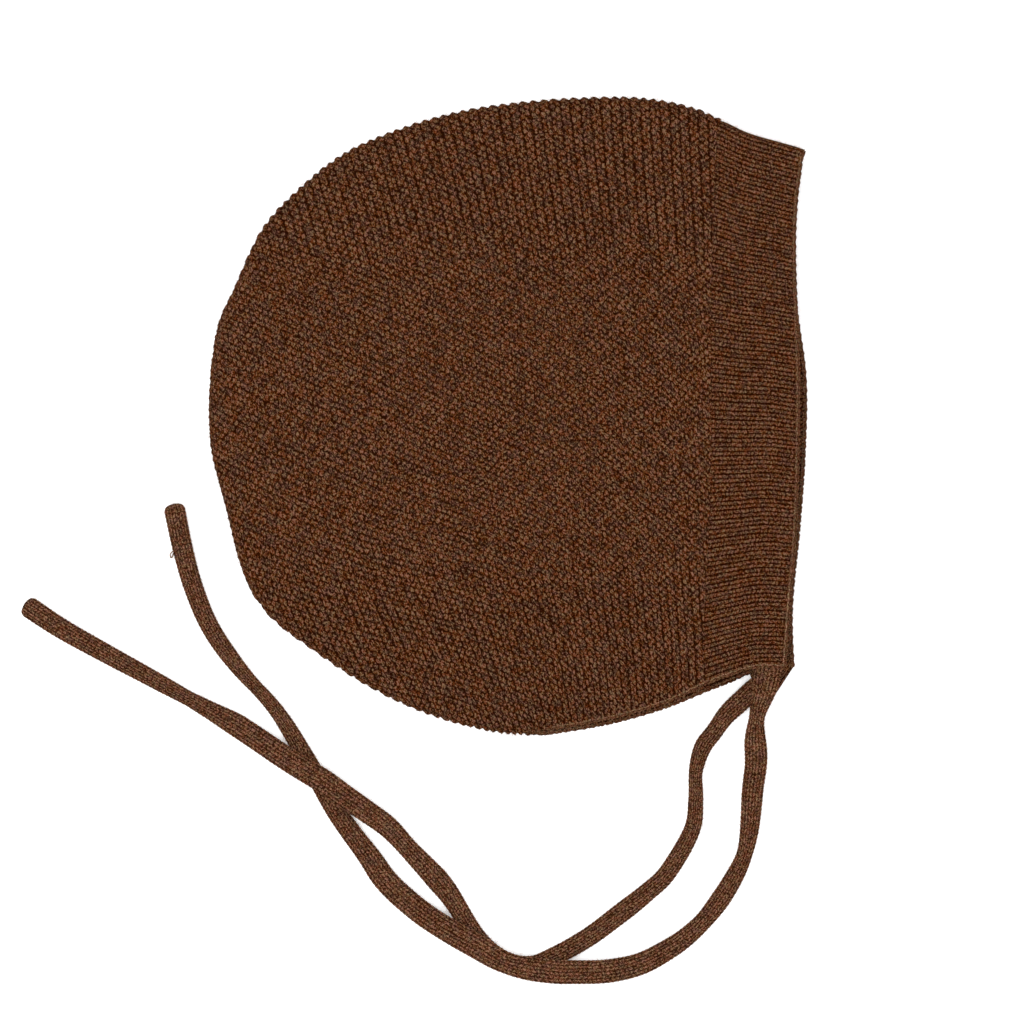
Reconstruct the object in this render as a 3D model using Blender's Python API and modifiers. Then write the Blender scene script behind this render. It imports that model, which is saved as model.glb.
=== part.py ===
"""Baby bonnet of fine brown wool, lying on its side as two layers joined along a fold.

The crown is one knitted bag, folded along the top and back of the head and open at the face
and the neck. A ribbed band edges the face opening, and a flat knitted tie hangs from each of
its two lower corners and lies on the surface.

Units are metres and +Z is up. The surface that the bonnet lies on is z = 0. +X points to the
face opening, +Y to the top of the head, and the origin is under the middle of the bonnet's box.
"""

import math
from collections import namedtuple

import bmesh
import bpy
from mathutils import Vector
from mathutils.geometry import delaunay_2d_cdt

# Bonnet
DEPTH = 0.1794  # from the back fold to the foremost edge
HEIGHT = 0.1917  # from the neck to the top fold
WALL = 0.0022  # one knitted layer
FOLD_RADIUS = 0.0035  # outside of the turn from one layer into the other
LOFT = 0.0105  # rise of the upper layer above the folds, at the middle of the crown
DOME_REACH = 0.060  # distance from the fold over which the upper layer rises
EDGE_REACH = 0.030  # distance from an open edge over which the upper layer sinks
FRONT_SAG = 0.0033  # how far it sinks at the face opening
NECK_SAG = 0.0028  # how far it sinks at the neck opening
BAND_WIDTH = 0.0255  # ribbed band, from its seam to the front edge
LAYER_SLIP = 0.0027  # how far the lower layer shows past the upper one
SEAM_LEAN = 0.0045  # how far the foot of the band's seam lies behind its top
SEAM_GAP = 0.0004  # clearance between the crown and the band
WELD = 0.00001  # points this near are one

# Ties
TIE_WIDTH = 0.0063
TIE_THICKNESS = 0.0024
TIE_STEP = 0.0058  # spacing of the points along a tie

# Mesh density
CROWN_MESH = 0.0090  # spacing of the crown's points
BAND_COLUMNS = 7
BAND_ROWS = 24  # rows across each layer of the band
TURN_STEPS = 3  # rows in each quarter of the fold's turn
PATH_STEPS = 8  # straight pieces drawn between two rows of an outline
ROW_CROWDING = 1.2  # over 1 draws the band's rows nearer each other towards the fold
EDGE_CLEARANCE = 0.45  # share of CROWN_MESH kept free between inner points and an edge
HEXAGON_ROWS = math.cos(math.pi / 6)  # row spacing of an even three-way grid

# Wool
CROWN_COLOUR = (0.083, 0.032, 0.014, 1.0)
BAND_COLOUR = (0.078, 0.031, 0.014, 1.0)
TIE_COLOUR = (0.088, 0.035, 0.015, 1.0)
WOOL_ROUGHNESS = 0.95

Share = namedtuple("Share", "depth height")
Neck = namedtuple("Neck", "depth height slip")
Front = namedtuple("Front", "down seam front slip")
RoutePoint = namedtuple("RoutePoint", "x y z")

# The crown's depth shares run from the back fold, 0, to the band's seam, 1, and the band's from
# the seam, 0, to the front edge, 1. Height shares are of HEIGHT, from the neck up.

SEAM_TOP = 0.964
SEAM_FOOT = 0.085

# Fold along the top of the band, on from the seam to the front corner.
BAND_FOLD = (
    Share(0.318, 0.944),
    Share(0.648, 0.931),
    Share(0.972, 0.919),
)

# Fold of the crown, on from the seam over the top and down the back to the neck opening.
CROWN_FOLD = (
    Share(0.940, 0.984),
    Share(0.842, 0.998),
    Share(0.725, 0.998),
    Share(0.608, 0.991),
    Share(0.491, 0.977),
    Share(0.374, 0.950),
    Share(0.267, 0.912),
    Share(0.180, 0.858),
    Share(0.105, 0.792),
    Share(0.049, 0.698),
    Share(0.012, 0.604),
    Share(0.000, 0.526),
    Share(0.006, 0.448),
    Share(0.035, 0.354),
    Share(0.066, 0.260),
    Share(0.117, 0.191),
    Share(0.205, 0.135),
    Share(0.316, 0.077),
    Share(0.432, 0.034),
    Share(0.550, 0.008),
    Share(0.627, 0.002),
)

# Neck edge of the crown's upper layer, on from the foot of the seam to the end of the fold.
# The slip is the share of LAYER_SLIP by which the lower layer shows below it.
CROWN_NECK = (
    Neck(0.893, 0.056, 0.75),
    Neck(0.803, 0.034, 0.70),
    Neck(0.725, 0.021, 0.60),
    Neck(0.670, 0.013, 0.55),
    Neck(0.639, 0.011, 0.30),
)

# Neck edge of the band's upper layer, on from the foot of the seam to the front corner.
BAND_NECK = (
    Neck(0.107, 0.099, 0.95),
    Neck(0.402, 0.110, 0.55),
    Neck(0.733, 0.110, 0.25),
)

# The band from its fold, down 0, to the neck, down 1. Seam and front are how far the band's seam
# and its front edge bow forward of a straight line, in shares of BAND_WIDTH. The slip is how far
# the lower layer's front edge shows past the upper one, in shares of LAYER_SLIP.
FRONT = (
    Front(0.00, 0.00, 0.00, 0.00),
    Front(0.08, -0.01, -0.045, 0.00),
    Front(0.17, -0.03, -0.055, 0.00),
    Front(0.29, -0.04, -0.016, 0.25),
    Front(0.43, -0.03, 0.038, 1.00),
    Front(0.58, -0.01, 0.061, 0.95),
    Front(0.73, -0.02, 0.064, 0.60),
    Front(0.87, -0.05, 0.027, 0.45),
    Front(0.95, -0.05, 0.010, 0.75),
    Front(1.00, 0.00, 0.00, 1.10),
)

# Centre lines of the ties in millimetres, from the root at the band's corner to the free end.
# The upper tie is sewn under the upper layer's corner. It lies over the lower tie beside the
# corner and again at the lowest part of its loop, and under it on the left.
UPPER_TIE_ROUTE = (
    RoutePoint(78.3, -70.4, 6.5),
    RoutePoint(78.2, -75.5, 6.5),
    RoutePoint(77.1, -82.1, 6.0),
    RoutePoint(75.2, -88.7, 4.3),
    RoutePoint(74.5, -95.6, 2.7),
    RoutePoint(74.8, -103.7, 1.5),
    RoutePoint(73.8, -112.1, 1.3),
    RoutePoint(72.8, -124.1, 1.3),
    RoutePoint(70.9, -132.7, 1.3),
    RoutePoint(66.3, -141.6, 1.3),
    RoutePoint(60.3, -150.0, 1.3),
    RoutePoint(54.3, -155.9, 1.3),
    RoutePoint(48.3, -160.1, 1.3),
    RoutePoint(39.9, -164.4, 1.7),
    RoutePoint(30.3, -166.4, 2.9),
    RoutePoint(20.7, -166.6, 4.0),
    RoutePoint(12.3, -166.3, 4.1),
    RoutePoint(0.3, -164.1, 4.1),
    RoutePoint(-8.7, -159.1, 4.1),
    RoutePoint(-17.7, -154.0, 3.8),
    RoutePoint(-26.7, -148.1, 2.4),
    RoutePoint(-35.8, -140.0, 1.4),
    RoutePoint(-41.5, -132.0, 1.3),
    RoutePoint(-47.3, -124.3, 1.3),
    RoutePoint(-52.5, -116.6, 1.3),
    RoutePoint(-61.0, -101.5, 1.3),
    RoutePoint(-69.5, -88.0, 1.3),
    RoutePoint(-80.1, -76.1, 1.3),
    RoutePoint(-88.6, -64.2, 1.3),
    RoutePoint(-93.9, -52.1, 1.3),
    RoutePoint(-97.3, -40.1, 1.3),
    RoutePoint(-100.0, -27.5, 1.3),
)
LOWER_TIE_ROUTE = (
    RoutePoint(81.3, -69.6, 3.8),
    RoutePoint(80.0, -74.4, 3.8),
    RoutePoint(77.0, -79.1, 3.6),
    RoutePoint(73.8, -82.0, 2.5),
    RoutePoint(70.8, -84.9, 1.7),
    RoutePoint(65.9, -89.6, 1.3),
    RoutePoint(62.2, -94.7, 1.3),
    RoutePoint(58.7, -99.5, 1.3),
    RoutePoint(56.7, -106.7, 1.3),
    RoutePoint(56.7, -115.1, 1.3),
    RoutePoint(55.5, -124.3, 1.3),
    RoutePoint(48.4, -136.7, 1.3),
    RoutePoint(42.3, -142.7, 1.3),
    RoutePoint(33.2, -149.9, 1.3),
    RoutePoint(24.4, -156.4, 1.3),
    RoutePoint(14.8, -161.8, 1.3),
    RoutePoint(6.9, -163.6, 1.3),
    RoutePoint(-0.7, -161.2, 1.3),
    RoutePoint(-8.2, -154.9, 1.3),
    RoutePoint(-17.9, -142.3, 1.3),
    RoutePoint(-29.6, -129.8, 1.4),
    RoutePoint(-35.5, -123.4, 2.4),
    RoutePoint(-41.6, -118.8, 3.7),
    RoutePoint(-48.5, -114.0, 4.1),
    RoutePoint(-54.5, -109.7, 4.2),
    RoutePoint(-62.1, -105.1, 4.1),
    RoutePoint(-67.5, -101.7, 3.8),
    RoutePoint(-73.5, -97.7, 2.7),
    RoutePoint(-78.6, -94.4, 1.6),
    RoutePoint(-84.0, -91.1, 1.3),
    RoutePoint(-107.3, -78.3, 1.3),
    RoutePoint(-122.4, -70.1, 1.3),
    RoutePoint(-134.1, -63.5, 1.3),
    RoutePoint(-143.7, -57.0, 1.3),
)
MILLIMETRE = 0.001

LOWER = "lower"
UPPER = "upper"


def clear_scene():
    """Remove the objects of the open scene."""
    for old in list(bpy.data.objects):
        bpy.data.objects.remove(old, do_unlink=True)


def wool(name, colour):
    """A matt knitted wool of one colour."""
    material = bpy.data.materials.new(name)
    material.use_nodes = True
    shader = material.node_tree.nodes["Principled BSDF"]
    shader.inputs["Base Color"].default_value = colour
    shader.inputs["Roughness"].default_value = WOOL_ROUGHNESS
    shader.inputs["Metallic"].default_value = 0.0
    return material


def catmull_rom(before, start, end, after, share):
    """A value or a vector on the smooth curve from start to end."""
    slope_start = (end - before) / 2
    slope_end = (after - start) / 2
    square = share * share
    cube = square * share
    return (
        start * (2 * cube - 3 * square + 1)
        + slope_start * (cube - 2 * square + share)
        + end * (3 * square - 2 * cube)
        + slope_end * (cube - square)
    )


def smooth_points(corners, steps):
    """Points of the smooth curve through the corners, with so many steps between two of them."""
    padded = [2 * corners[0] - corners[1], *corners, 2 * corners[-1] - corners[-2]]
    points = []
    for index in range(len(corners) - 1):
        for step in range(steps):
            points.append(catmull_rom(*padded[index : index + 4], step / steps))
    points.append(corners[-1])
    return points


class Path:
    """A smooth line through a few corners, read by the share of its length."""

    def __init__(self, corners, steps=PATH_STEPS):
        self.points = smooth_points(corners, steps)
        self.lengths = [0.0]
        for start, end in zip(self.points, self.points[1:]):
            self.lengths.append(self.lengths[-1] + (end - start).length)

    @property
    def length(self):
        return self.lengths[-1]

    def segment(self, share):
        """The straight piece at this share of the length, and the share within the piece."""
        reach = min(max(share, 0.0), 1.0) * self.length
        index = 0
        while index < len(self.points) - 2 and self.lengths[index + 1] < reach:
            index += 1
        span = self.lengths[index + 1] - self.lengths[index]
        return index, (reach - self.lengths[index]) / span

    def at(self, share):
        index, within = self.segment(share)
        return self.points[index].lerp(self.points[index + 1], within)

    def along(self, share):
        """The direction of the line, turned smoothly from one straight piece to the next."""
        index, within = self.segment(share)
        last = len(self.points) - 1
        start = self.points[index + 1] - self.points[max(index - 1, 0)]
        end = self.points[min(index + 2, last)] - self.points[index]
        return start.normalized().lerp(end.normalized(), within).normalized()


def distance_to(points, place):
    """The distance from a place to a line of points."""
    nearest = math.inf
    for start, end in zip(points, points[1:]):
        side = end - start
        share = min(max((place - start).dot(side) / side.length_squared, 0.0), 1.0)
        nearest = min(nearest, (place - start - side * share).length)
    return nearest


def table_value(rows, key, column, at):
    """A column of a table, smoothly read between its rows at a value of the key column."""
    keys = [getattr(row, key) for row in rows]
    values = [getattr(row, column) for row in rows]
    index = 0
    while index < len(keys) - 2 and keys[index + 1] < at:
        index += 1
    share = (at - keys[index]) / (keys[index + 1] - keys[index])
    before = values[max(index - 1, 0)]
    after = values[min(index + 2, len(values) - 1)]
    return catmull_rom(before, values[index], values[index + 1], after, share)


def crown_place(row):
    """The plan position of a row of the crown's tables."""
    return Vector((row.depth * (DEPTH - BAND_WIDTH) - DEPTH / 2, (row.height - 0.5) * HEIGHT))


def band_place(row):
    """The plan position of a row of the band's tables."""
    return Vector((DEPTH / 2 - (1 - row.depth) * BAND_WIDTH, (row.height - 0.5) * HEIGHT))


def neck_paths(seam_foot, rows, place):
    """The neck edges of the two layers, the lower one slipped below the upper."""
    upper = [seam_foot] + [place(row) for row in rows]
    slips = [1.0] + [row.slip for row in rows]
    lower = [spot - Vector((0.0, slip * LAYER_SLIP)) for spot, slip in zip(upper, slips)]
    return {UPPER: Path(upper), LOWER: Path(lower)}


class Bonnet:
    """The outlines of the bonnet in plan, and the height of its two layers over each place."""

    def __init__(self):
        seam_top = crown_place(Share(1.0, SEAM_TOP))
        seam_foot = crown_place(Share(1.0, SEAM_FOOT)) - Vector((SEAM_LEAN, 0.0))
        band_fold = [seam_top] + [band_place(row) for row in BAND_FOLD]
        crown_fold = [seam_top] + [crown_place(row) for row in CROWN_FOLD]
        self.band_fold = Path(band_fold)
        self.crown_fold = Path(crown_fold)
        self.crown_neck = neck_paths(seam_foot, CROWN_NECK, crown_place)
        self.band_neck = neck_paths(seam_foot, BAND_NECK, band_place)
        # The folds run straight on past their ends, so that the open edges stay flat there.
        front_end = band_fold[-1] + (band_fold[-1] - band_fold[-2]).normalized() * EDGE_REACH
        neck_end = crown_fold[-1] + (crown_fold[-1] - crown_fold[-2]).normalized() * DOME_REACH
        self.fold_line = [front_end, *reversed(self.band_fold.points)]
        self.fold_line += [*self.crown_fold.points[1:], neck_end]
        self.neck_line = [*reversed(self.crown_neck[UPPER].points)]
        self.neck_line += self.band_neck[UPPER].points[1:]
        self.front_line = [
            self.band_point(1.0, step / BAND_ROWS, UPPER) for step in range(BAND_ROWS + 1)
        ]

    def seam_bow(self, down):
        return Vector((table_value(FRONT, "down", "seam", down) * BAND_WIDTH, 0.0))

    def front_bow(self, down, side):
        bow = table_value(FRONT, "down", "front", down) * BAND_WIDTH
        if side == LOWER:
            bow += table_value(FRONT, "down", "slip", down) * LAYER_SLIP
        return Vector((bow, 0.0))

    def turn_place(self, fold, share, depth):
        """The place at a depth inside the outline, square to it, at a share of a fold."""
        along = fold.along(share)
        inward = Vector((-along.y, along.x))
        if inward.dot(fold.at(share)) > 0:
            inward.negate()
        return fold.at(share) + inward * depth

    def seam_point(self, down, side):
        """Plan position on the band's seam, from the end of the fold's turn to the neck."""
        start = self.turn_place(self.band_fold, 0.0, FOLD_RADIUS)
        return start.lerp(self.band_neck[side].at(0.0), down) + self.seam_bow(down)

    def band_point(self, share, down, side):
        """Plan position in the band: share 0 is the seam, share 1 the front edge."""
        start = self.turn_place(self.band_fold, share, FOLD_RADIUS)
        bow = self.seam_bow(down).lerp(self.front_bow(down, side), share)
        return start.lerp(self.band_neck[side].at(share), down) + bow

    def turn(self, plan):
        """How far the rounded fold draws a layer in from its flat height at a place."""
        depth = min(distance_to(self.fold_line, plan), FOLD_RADIUS)
        if depth < WELD:
            return FOLD_RADIUS
        return FOLD_RADIUS - math.sqrt(FOLD_RADIUS**2 - (FOLD_RADIUS - depth) ** 2)

    def dome(self, plan):
        """How far the upper layer rises above the folds at a place."""
        depth = distance_to(self.fold_line, plan)
        if depth < WELD:
            return 0.0
        inside = min(depth / DOME_REACH, 1.0)
        rise = LOFT * (1 - (1 - inside) ** 2)
        front = distance_to(self.front_line, plan) / EDGE_REACH
        neck = distance_to(self.neck_line, plan) / EDGE_REACH
        sag = FRONT_SAG * math.exp(-front * front) + NECK_SAG * math.exp(-neck * neck)
        return rise - sag * rise / LOFT

    def solid_point(self, plan, side):
        if side == LOWER:
            return Vector((*plan, self.turn(plan)))
        return Vector((*plan, 2 * FOLD_RADIUS - self.turn(plan) + self.dome(plan)))

    def inside(self, plan, side):
        """How deep a place lies inside the crown's fold and its open edges, whichever is least."""
        fold = distance_to(self.fold_line, plan) - FOLD_RADIUS
        neck = distance_to(self.crown_neck[side].points, plan)
        seam = self.seam_point(0.5, side)
        return min(fold, neck, seam.x - plan.x)


def turn_depths():
    """Depths inside the outline of the rows that round a quarter of the fold's turn."""
    angles = [math.pi / 2 * step / TURN_STEPS for step in range(1, TURN_STEPS + 1)]
    return [FOLD_RADIUS * (1 - math.cos(angle)) for angle in angles]


def shell(name, surface, material):
    """A knitted layer of even thickness, with the surface as its outside."""
    bmesh.ops.recalc_face_normals(surface, faces=surface.faces)
    lowest = min(surface.faces, key=lambda face: face.calc_center_median().z)
    if lowest.normal.z > 0:
        bmesh.ops.reverse_faces(surface, faces=surface.faces)
    mesh = bpy.data.meshes.new(name)
    surface.to_mesh(mesh)
    surface.free()
    mesh.materials.append(material)
    mesh.shade_smooth()
    layer = bpy.data.objects.new(name, mesh)
    wall = layer.modifiers.new("wall", "SOLIDIFY")
    wall.thickness = WALL
    wall.offset = -1.0
    wall.use_quality_normals = True
    return layer


def crown_outline(bonnet, side):
    """Plan positions round one layer: the fold, the neck edge and the band's seam."""
    fold_steps = round(bonnet.crown_fold.length / CROWN_MESH)
    neck_steps = round(bonnet.crown_neck[side].length / CROWN_MESH)
    seam_steps = round(HEIGHT / CROWN_MESH)
    fold = [bonnet.crown_fold.at(step / fold_steps) for step in range(fold_steps + 1)]
    neck = [bonnet.crown_neck[side].at(1 - step / neck_steps) for step in range(neck_steps)]
    seam = [bonnet.seam_point(1 - step / seam_steps, side) for step in range(seam_steps)]
    turn = [bonnet.turn_place(bonnet.band_fold, 0.0, depth) for depth in reversed(turn_depths())]
    return [*fold, *neck, *seam, *turn]


def crown_inside(bonnet, side):
    """Plan positions inside one layer: the rows of the fold's turn, then an even grid."""
    fold_steps = round(bonnet.crown_fold.length / CROWN_MESH)
    places = []
    for depth in turn_depths():
        for step in range(1, fold_steps):
            places.append(bonnet.turn_place(bonnet.crown_fold, step / fold_steps, depth))
    open_edges = [bonnet.crown_neck[side].points]
    open_edges.append([bonnet.seam_point(step / BAND_ROWS, side) for step in range(BAND_ROWS + 1)])
    clear = CROWN_MESH * EDGE_CLEARANCE
    places = [
        spot for spot in places if all(distance_to(edge, spot) > clear for edge in open_edges)
    ]
    columns = round((DEPTH - BAND_WIDTH) / CROWN_MESH)
    rows = round(HEIGHT / CROWN_MESH / HEXAGON_ROWS)
    for row in range(rows + 1):
        for column in range(columns + 1):
            shift = 0.5 * (row % 2)
            spot = crown_place(Share((column + shift) / columns, row / rows))
            if bonnet.inside(spot, side) > clear:
                places.append(spot)
    return places


def crown_layer(surface, bonnet, side):
    """Add one layer of the crown to the surface."""
    outline = crown_outline(bonnet, side)
    places = outline + crown_inside(bonnet, side)
    count = len(outline)
    rim = [(index, (index + 1) % count) for index in range(count)]
    flat, _, triangles, _, _, _ = delaunay_2d_cdt(places, rim, [], 1, 1e-7)
    used = sorted({index for triangle in triangles for index in triangle})
    corner = {index: surface.verts.new(bonnet.solid_point(flat[index], side)) for index in used}
    for triangle in triangles:
        surface.faces.new([corner[index] for index in triangle])


def crown(bonnet):
    """The moss-stitch bag: two layers that meet along the fold, open at the band and the neck."""
    surface = bmesh.new()
    for side in (LOWER, UPPER):
        crown_layer(surface, bonnet, side)
    bmesh.ops.remove_doubles(surface, verts=surface.verts, dist=WELD)
    return shell("crown", surface, wool("crown wool", CROWN_COLOUR))


def band_section(bonnet, share):
    """Points across the band, from the lower neck edge round the fold to the upper neck edge."""
    turn = [bonnet.turn_place(bonnet.band_fold, share, depth) for depth in turn_depths()[:-1]]
    downs = [(row / BAND_ROWS) ** ROW_CROWDING for row in range(BAND_ROWS + 1)]
    lower = [bonnet.band_point(share, down, LOWER) for down in reversed(downs)]
    upper = [bonnet.band_point(share, down, UPPER) for down in downs]
    points = [bonnet.solid_point(spot, LOWER) for spot in [*lower, *reversed(turn)]]
    points.append(Vector((*bonnet.band_fold.at(share), FOLD_RADIUS)))
    points += [bonnet.solid_point(spot, UPPER) for spot in [*turn, *upper]]
    clear = Vector((SEAM_GAP * (1 - share), 0.0, 0.0))
    return [point + clear for point in points]


def front_band(bonnet):
    """The ribbed band round the face opening, its two ends at the neck."""
    sections = [
        band_section(bonnet, column / BAND_COLUMNS) for column in range(BAND_COLUMNS + 1)
    ]
    rows = len(sections[0]) - 1
    surface = bmesh.new()
    bmesh.ops.create_grid(surface, x_segments=BAND_COLUMNS, y_segments=rows, size=1.0)
    for vertex in surface.verts:
        column = round((vertex.co.x + 1) / 2 * BAND_COLUMNS)
        row = round((vertex.co.y + 1) / 2 * rows)
        vertex.co = sections[column][row]
    return shell("front_band", surface, wool("band wool", BAND_COLOUR))


def tie(name, route, material):
    """A flat knitted tie with rounded edges, lying along its route."""
    corners = [Vector(point) * MILLIMETRE for point in route]
    path = Path(corners)
    steps = round(path.length / TIE_STEP)
    curve = bpy.data.curves.new(name, "CURVE")
    curve.dimensions = "3D"
    curve.twist_mode = "Z_UP"
    curve.extrude = (TIE_WIDTH - TIE_THICKNESS) / 2
    curve.bevel_depth = TIE_THICKNESS / 2
    curve.bevel_resolution = 2
    curve.use_fill_caps = True
    spline = curve.splines.new("POLY")
    spline.points.add(steps)
    for step, point in enumerate(spline.points):
        point.co = (*path.at(step / steps), 1.0)
        point.tilt = math.pi / 2
    curve.materials.append(material)
    return bpy.data.objects.new(name, curve)


def main():
    clear_scene()
    bonnet = Bonnet()
    tie_wool = wool("tie wool", TIE_COLOUR)
    pieces = [
        crown(bonnet),
        front_band(bonnet),
        tie("upper_tie", UPPER_TIE_ROUTE, tie_wool),
        tie("lower_tie", LOWER_TIE_ROUTE, tie_wool),
    ]
    collection = bpy.data.collections.new("baby_bonnet")
    bpy.context.scene.collection.children.link(collection)
    for piece in pieces:
        collection.objects.link(piece)


main()
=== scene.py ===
"""Looks of a baby bonnet of fine brown wool, lying on its side with its two ties.

The knitted surfaces are meshes whose corners follow the stitches: moss stitch on the crown,
fine ribs on the band and plain stitch on the ties. Their materials add the yarn, with painted
shade in the knit's hollows and gaps and painted light on the stitches' crests.

Units are metres and +Z is up. +X points to the face opening and +Y to the top of the head.
"""

from __future__ import annotations

import logging
import math
from collections.abc import Callable
from dataclasses import dataclass, field
from enum import Enum
from typing import ClassVar, NamedTuple

import bpy
import numpy as np
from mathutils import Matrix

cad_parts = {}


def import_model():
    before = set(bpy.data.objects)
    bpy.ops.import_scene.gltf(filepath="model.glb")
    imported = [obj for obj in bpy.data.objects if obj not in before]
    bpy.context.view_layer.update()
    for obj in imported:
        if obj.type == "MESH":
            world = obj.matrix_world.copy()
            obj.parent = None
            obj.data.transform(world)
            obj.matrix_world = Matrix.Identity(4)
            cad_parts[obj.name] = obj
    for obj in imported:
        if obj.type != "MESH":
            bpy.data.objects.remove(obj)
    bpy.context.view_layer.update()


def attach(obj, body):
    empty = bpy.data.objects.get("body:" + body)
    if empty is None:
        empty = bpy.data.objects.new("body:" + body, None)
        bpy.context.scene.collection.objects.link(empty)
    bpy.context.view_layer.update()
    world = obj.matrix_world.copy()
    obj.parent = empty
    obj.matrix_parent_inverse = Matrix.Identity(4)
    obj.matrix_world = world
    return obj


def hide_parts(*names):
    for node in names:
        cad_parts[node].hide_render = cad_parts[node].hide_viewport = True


log = logging.getLogger("bonnet")

Array = np.ndarray
Rgba = tuple[float, float, float, float]
Socket = bpy.types.NodeSocket
Feed = Socket | float | tuple  # what a node's socket may be given
Values = tuple | dict  # what several sockets are given

SEED = 7
ROOT = "root"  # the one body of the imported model

# Photograph
PIXEL = 0.0003  # one pixel of the photograph, on the bonnet
PHOTO_SIDE = 1024  # pixels
PHOTO_ORIGIN = (507.0, 416.5)  # the pixel over the frame's origin

# Bonnet, as in the solids
DEPTH = 0.1794  # from the back fold to the foremost edge
HEIGHT = 0.1917  # from the neck to the top fold
FOLD_RADIUS = 0.0035  # outside of the turn from one layer into the other
LOFT = 0.0105  # rise of the upper layer above the folds, at the middle of the crown
DOME_REACH = 0.060  # distance from the fold over which the upper layer rises
EDGE_REACH = 0.030  # distance from an open edge over which the upper layer sinks
FRONT_SAG = 0.0033  # how far it sinks at the face opening
NECK_SAG = 0.0028  # how far it sinks at the neck opening
BAND_WIDTH = 0.0255  # ribbed band, from its seam to the front edge
LAYER_SLIP = 0.0027  # how far the lower layer shows past the upper one
SEAM_LEAN = 0.0045  # how far the foot of the band's seam lies behind its top
KNIT_WALL = 0.0019  # one knitted layer between its bumps, thinner than the solids' wall
QUARTER_TURN = FOLD_RADIUS * math.pi / 2  # the fold's turn, from flat to its middle line

NEAR_LINE = 1e-6  # a place nearer than this lies on the line
CHUNK = 20000  # places that are compared with a line at a time

# Knit
COURSE_PITCH = 0.00240  # two courses of the crown's moss stitch
WALE_PITCH = 0.00219  # two wales of it
TOP_STRETCH = 0.18  # how much wider the courses lie near the top fold
STRIPES_FROM = 0.036  # distance above or below the middle from which the courses pair up
STRIPES_OVER = 0.026  # distance over which they come to do so
RIB_PITCH = 0.00276  # one rib of the band, with the two legs of its stitches
RIB_STITCH = 0.00116  # one stitch along a rib
MOSS_RELIEF = 0.00023  # half the height of a moss bump
RIB_RELIEF = 0.00017  # the same of a rib, a tie's stitch and an edge's stitch
TIE_RELIEF = 0.00024
EDGE_RELIEF = 0.00028
PROUD = 0.65  # share of half a bump that stands out past the solids
LEG_SHARE = 0.64  # share of plain knit's relief in its columns, and the rest in its stitches
STITCH_MAP = "stitches"  # the UV map that holds the stitch counts

# Ties
TIE_WIDTH = 0.0063
TIE_THICKNESS = 0.0024
TIE_STITCH = 0.00139  # one stitch along a tie
TIE_COLUMNS = 8  # columns of stitches round a tie
TIE_SLANT = 1.1  # stitches that a leg of the V rises over a whole column
RIB_SLANT = 1.1
CHAIN_SLANT = 1.2
YARN_SLANT = 1.0
EDGE_RADIUS = 0.00095  # of the chain of stitches along an open edge
EDGE_INSET = 0.00035  # how far its middle lies inside the edge
TONGUE = 0.0078  # how far the lower layer's front corner runs on towards its tie

# Finishes
HEATHER_AND_SHADE = "heather_wool"  # the node group that gives the wool's colours, with painted shade and painted light
STRAY_SCALE = 1200.0  # fineness of the yarn's straying from its stitches
HOLLOW_SHADE_OVER = (0.5, 1.7)  # squared distances from a stitch's middle over which its painted shade comes in
STRANDS_APART = 9.0  # how far apart the noise of two stitches' strands may lie
RED_TINT = (1.06, 0.91, 1.00, 1)
GREEN_TINT = (0.95, 1.06, 0.97, 1)
WHITE = (1.0, 1.0, 1.0, 1.0)

MILLIMETRE = 0.001
PATH_STEPS = 8  # straight pieces drawn between two corners of a smooth line
OVAL_STEPS = 720  # straight pieces that a round section is measured with
ELLIPSE = 2.0  # squareness of a round section
TINY = 1e-9


class Side(Enum):
    """The two layers of the bonnet as it lies."""

    LOWER = "lower"
    UPPER = "upper"


class Stitch(Enum):
    """The stitches of the pieces, with the names of their node groups."""

    MOSS = "moss_stitch"
    PLAIN = "plain_stitch"


class Kind(Enum):
    """The kinds of a node group's sockets."""

    FLOAT = "NodeSocketFloat"
    VECTOR = "NodeSocketVector"
    COLOUR = "NodeSocketColor"


class Share(NamedTuple):
    """A place in shares of the depth and the height."""

    depth: float
    height: float


class Neck(NamedTuple):
    """A place on a neck edge, and the share of LAYER_SLIP that the lower layer shows below it."""

    depth: float
    height: float
    slip: float


class Front(NamedTuple):
    """The bows of the band's seam and front edge at a share of the way from the fold down."""

    down: float
    seam: float
    front: float
    slip: float


class Lean(NamedTuple):
    """How far the courses lean left of upright at a pixel of the photograph, in degrees."""

    x: float
    y: float
    lean: float


class RoutePoint(NamedTuple):
    """A point on a tie's centre line, in millimetres."""

    x: float
    y: float
    z: float


class Waist(NamedTuple):
    """A tie's width at a distance from its root, both in millimetres."""

    reach: float
    width: float


def table(kind: type, *rows: tuple[float, ...]) -> tuple:
    """The rows of a table, each with its columns' names."""
    return tuple(kind(*row) for row in rows)


SEAM_TOP = 0.964  # height of the band's seam at the fold, and at the neck
SEAM_FOOT = 0.085

# Fold along the top of the band, on from the seam to the front corner.
BAND_FOLD = table(
    Share,
    (0.318, 0.944), (0.648, 0.931), (0.972, 0.919),
)

# Fold of the crown, on from the seam over the top and down the back to the neck opening.
# Halfway down the back it lies a little off the solids' fold.
CROWN_FOLD = table(
    Share,
    (0.940, 0.984), (0.842, 0.998), (0.725, 0.998), (0.608, 0.991), (0.491, 0.977),
    (0.374, 0.950), (0.267, 0.912), (0.180, 0.858), (0.105, 0.792), (0.049, 0.698),
    (0.021, 0.648), (0.008, 0.592), (0.002, 0.526), (0.006, 0.448), (0.035, 0.354),
    (0.066, 0.260), (0.117, 0.191), (0.205, 0.135), (0.316, 0.077), (0.432, 0.034),
    (0.550, 0.008), (0.627, 0.002),
)

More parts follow.
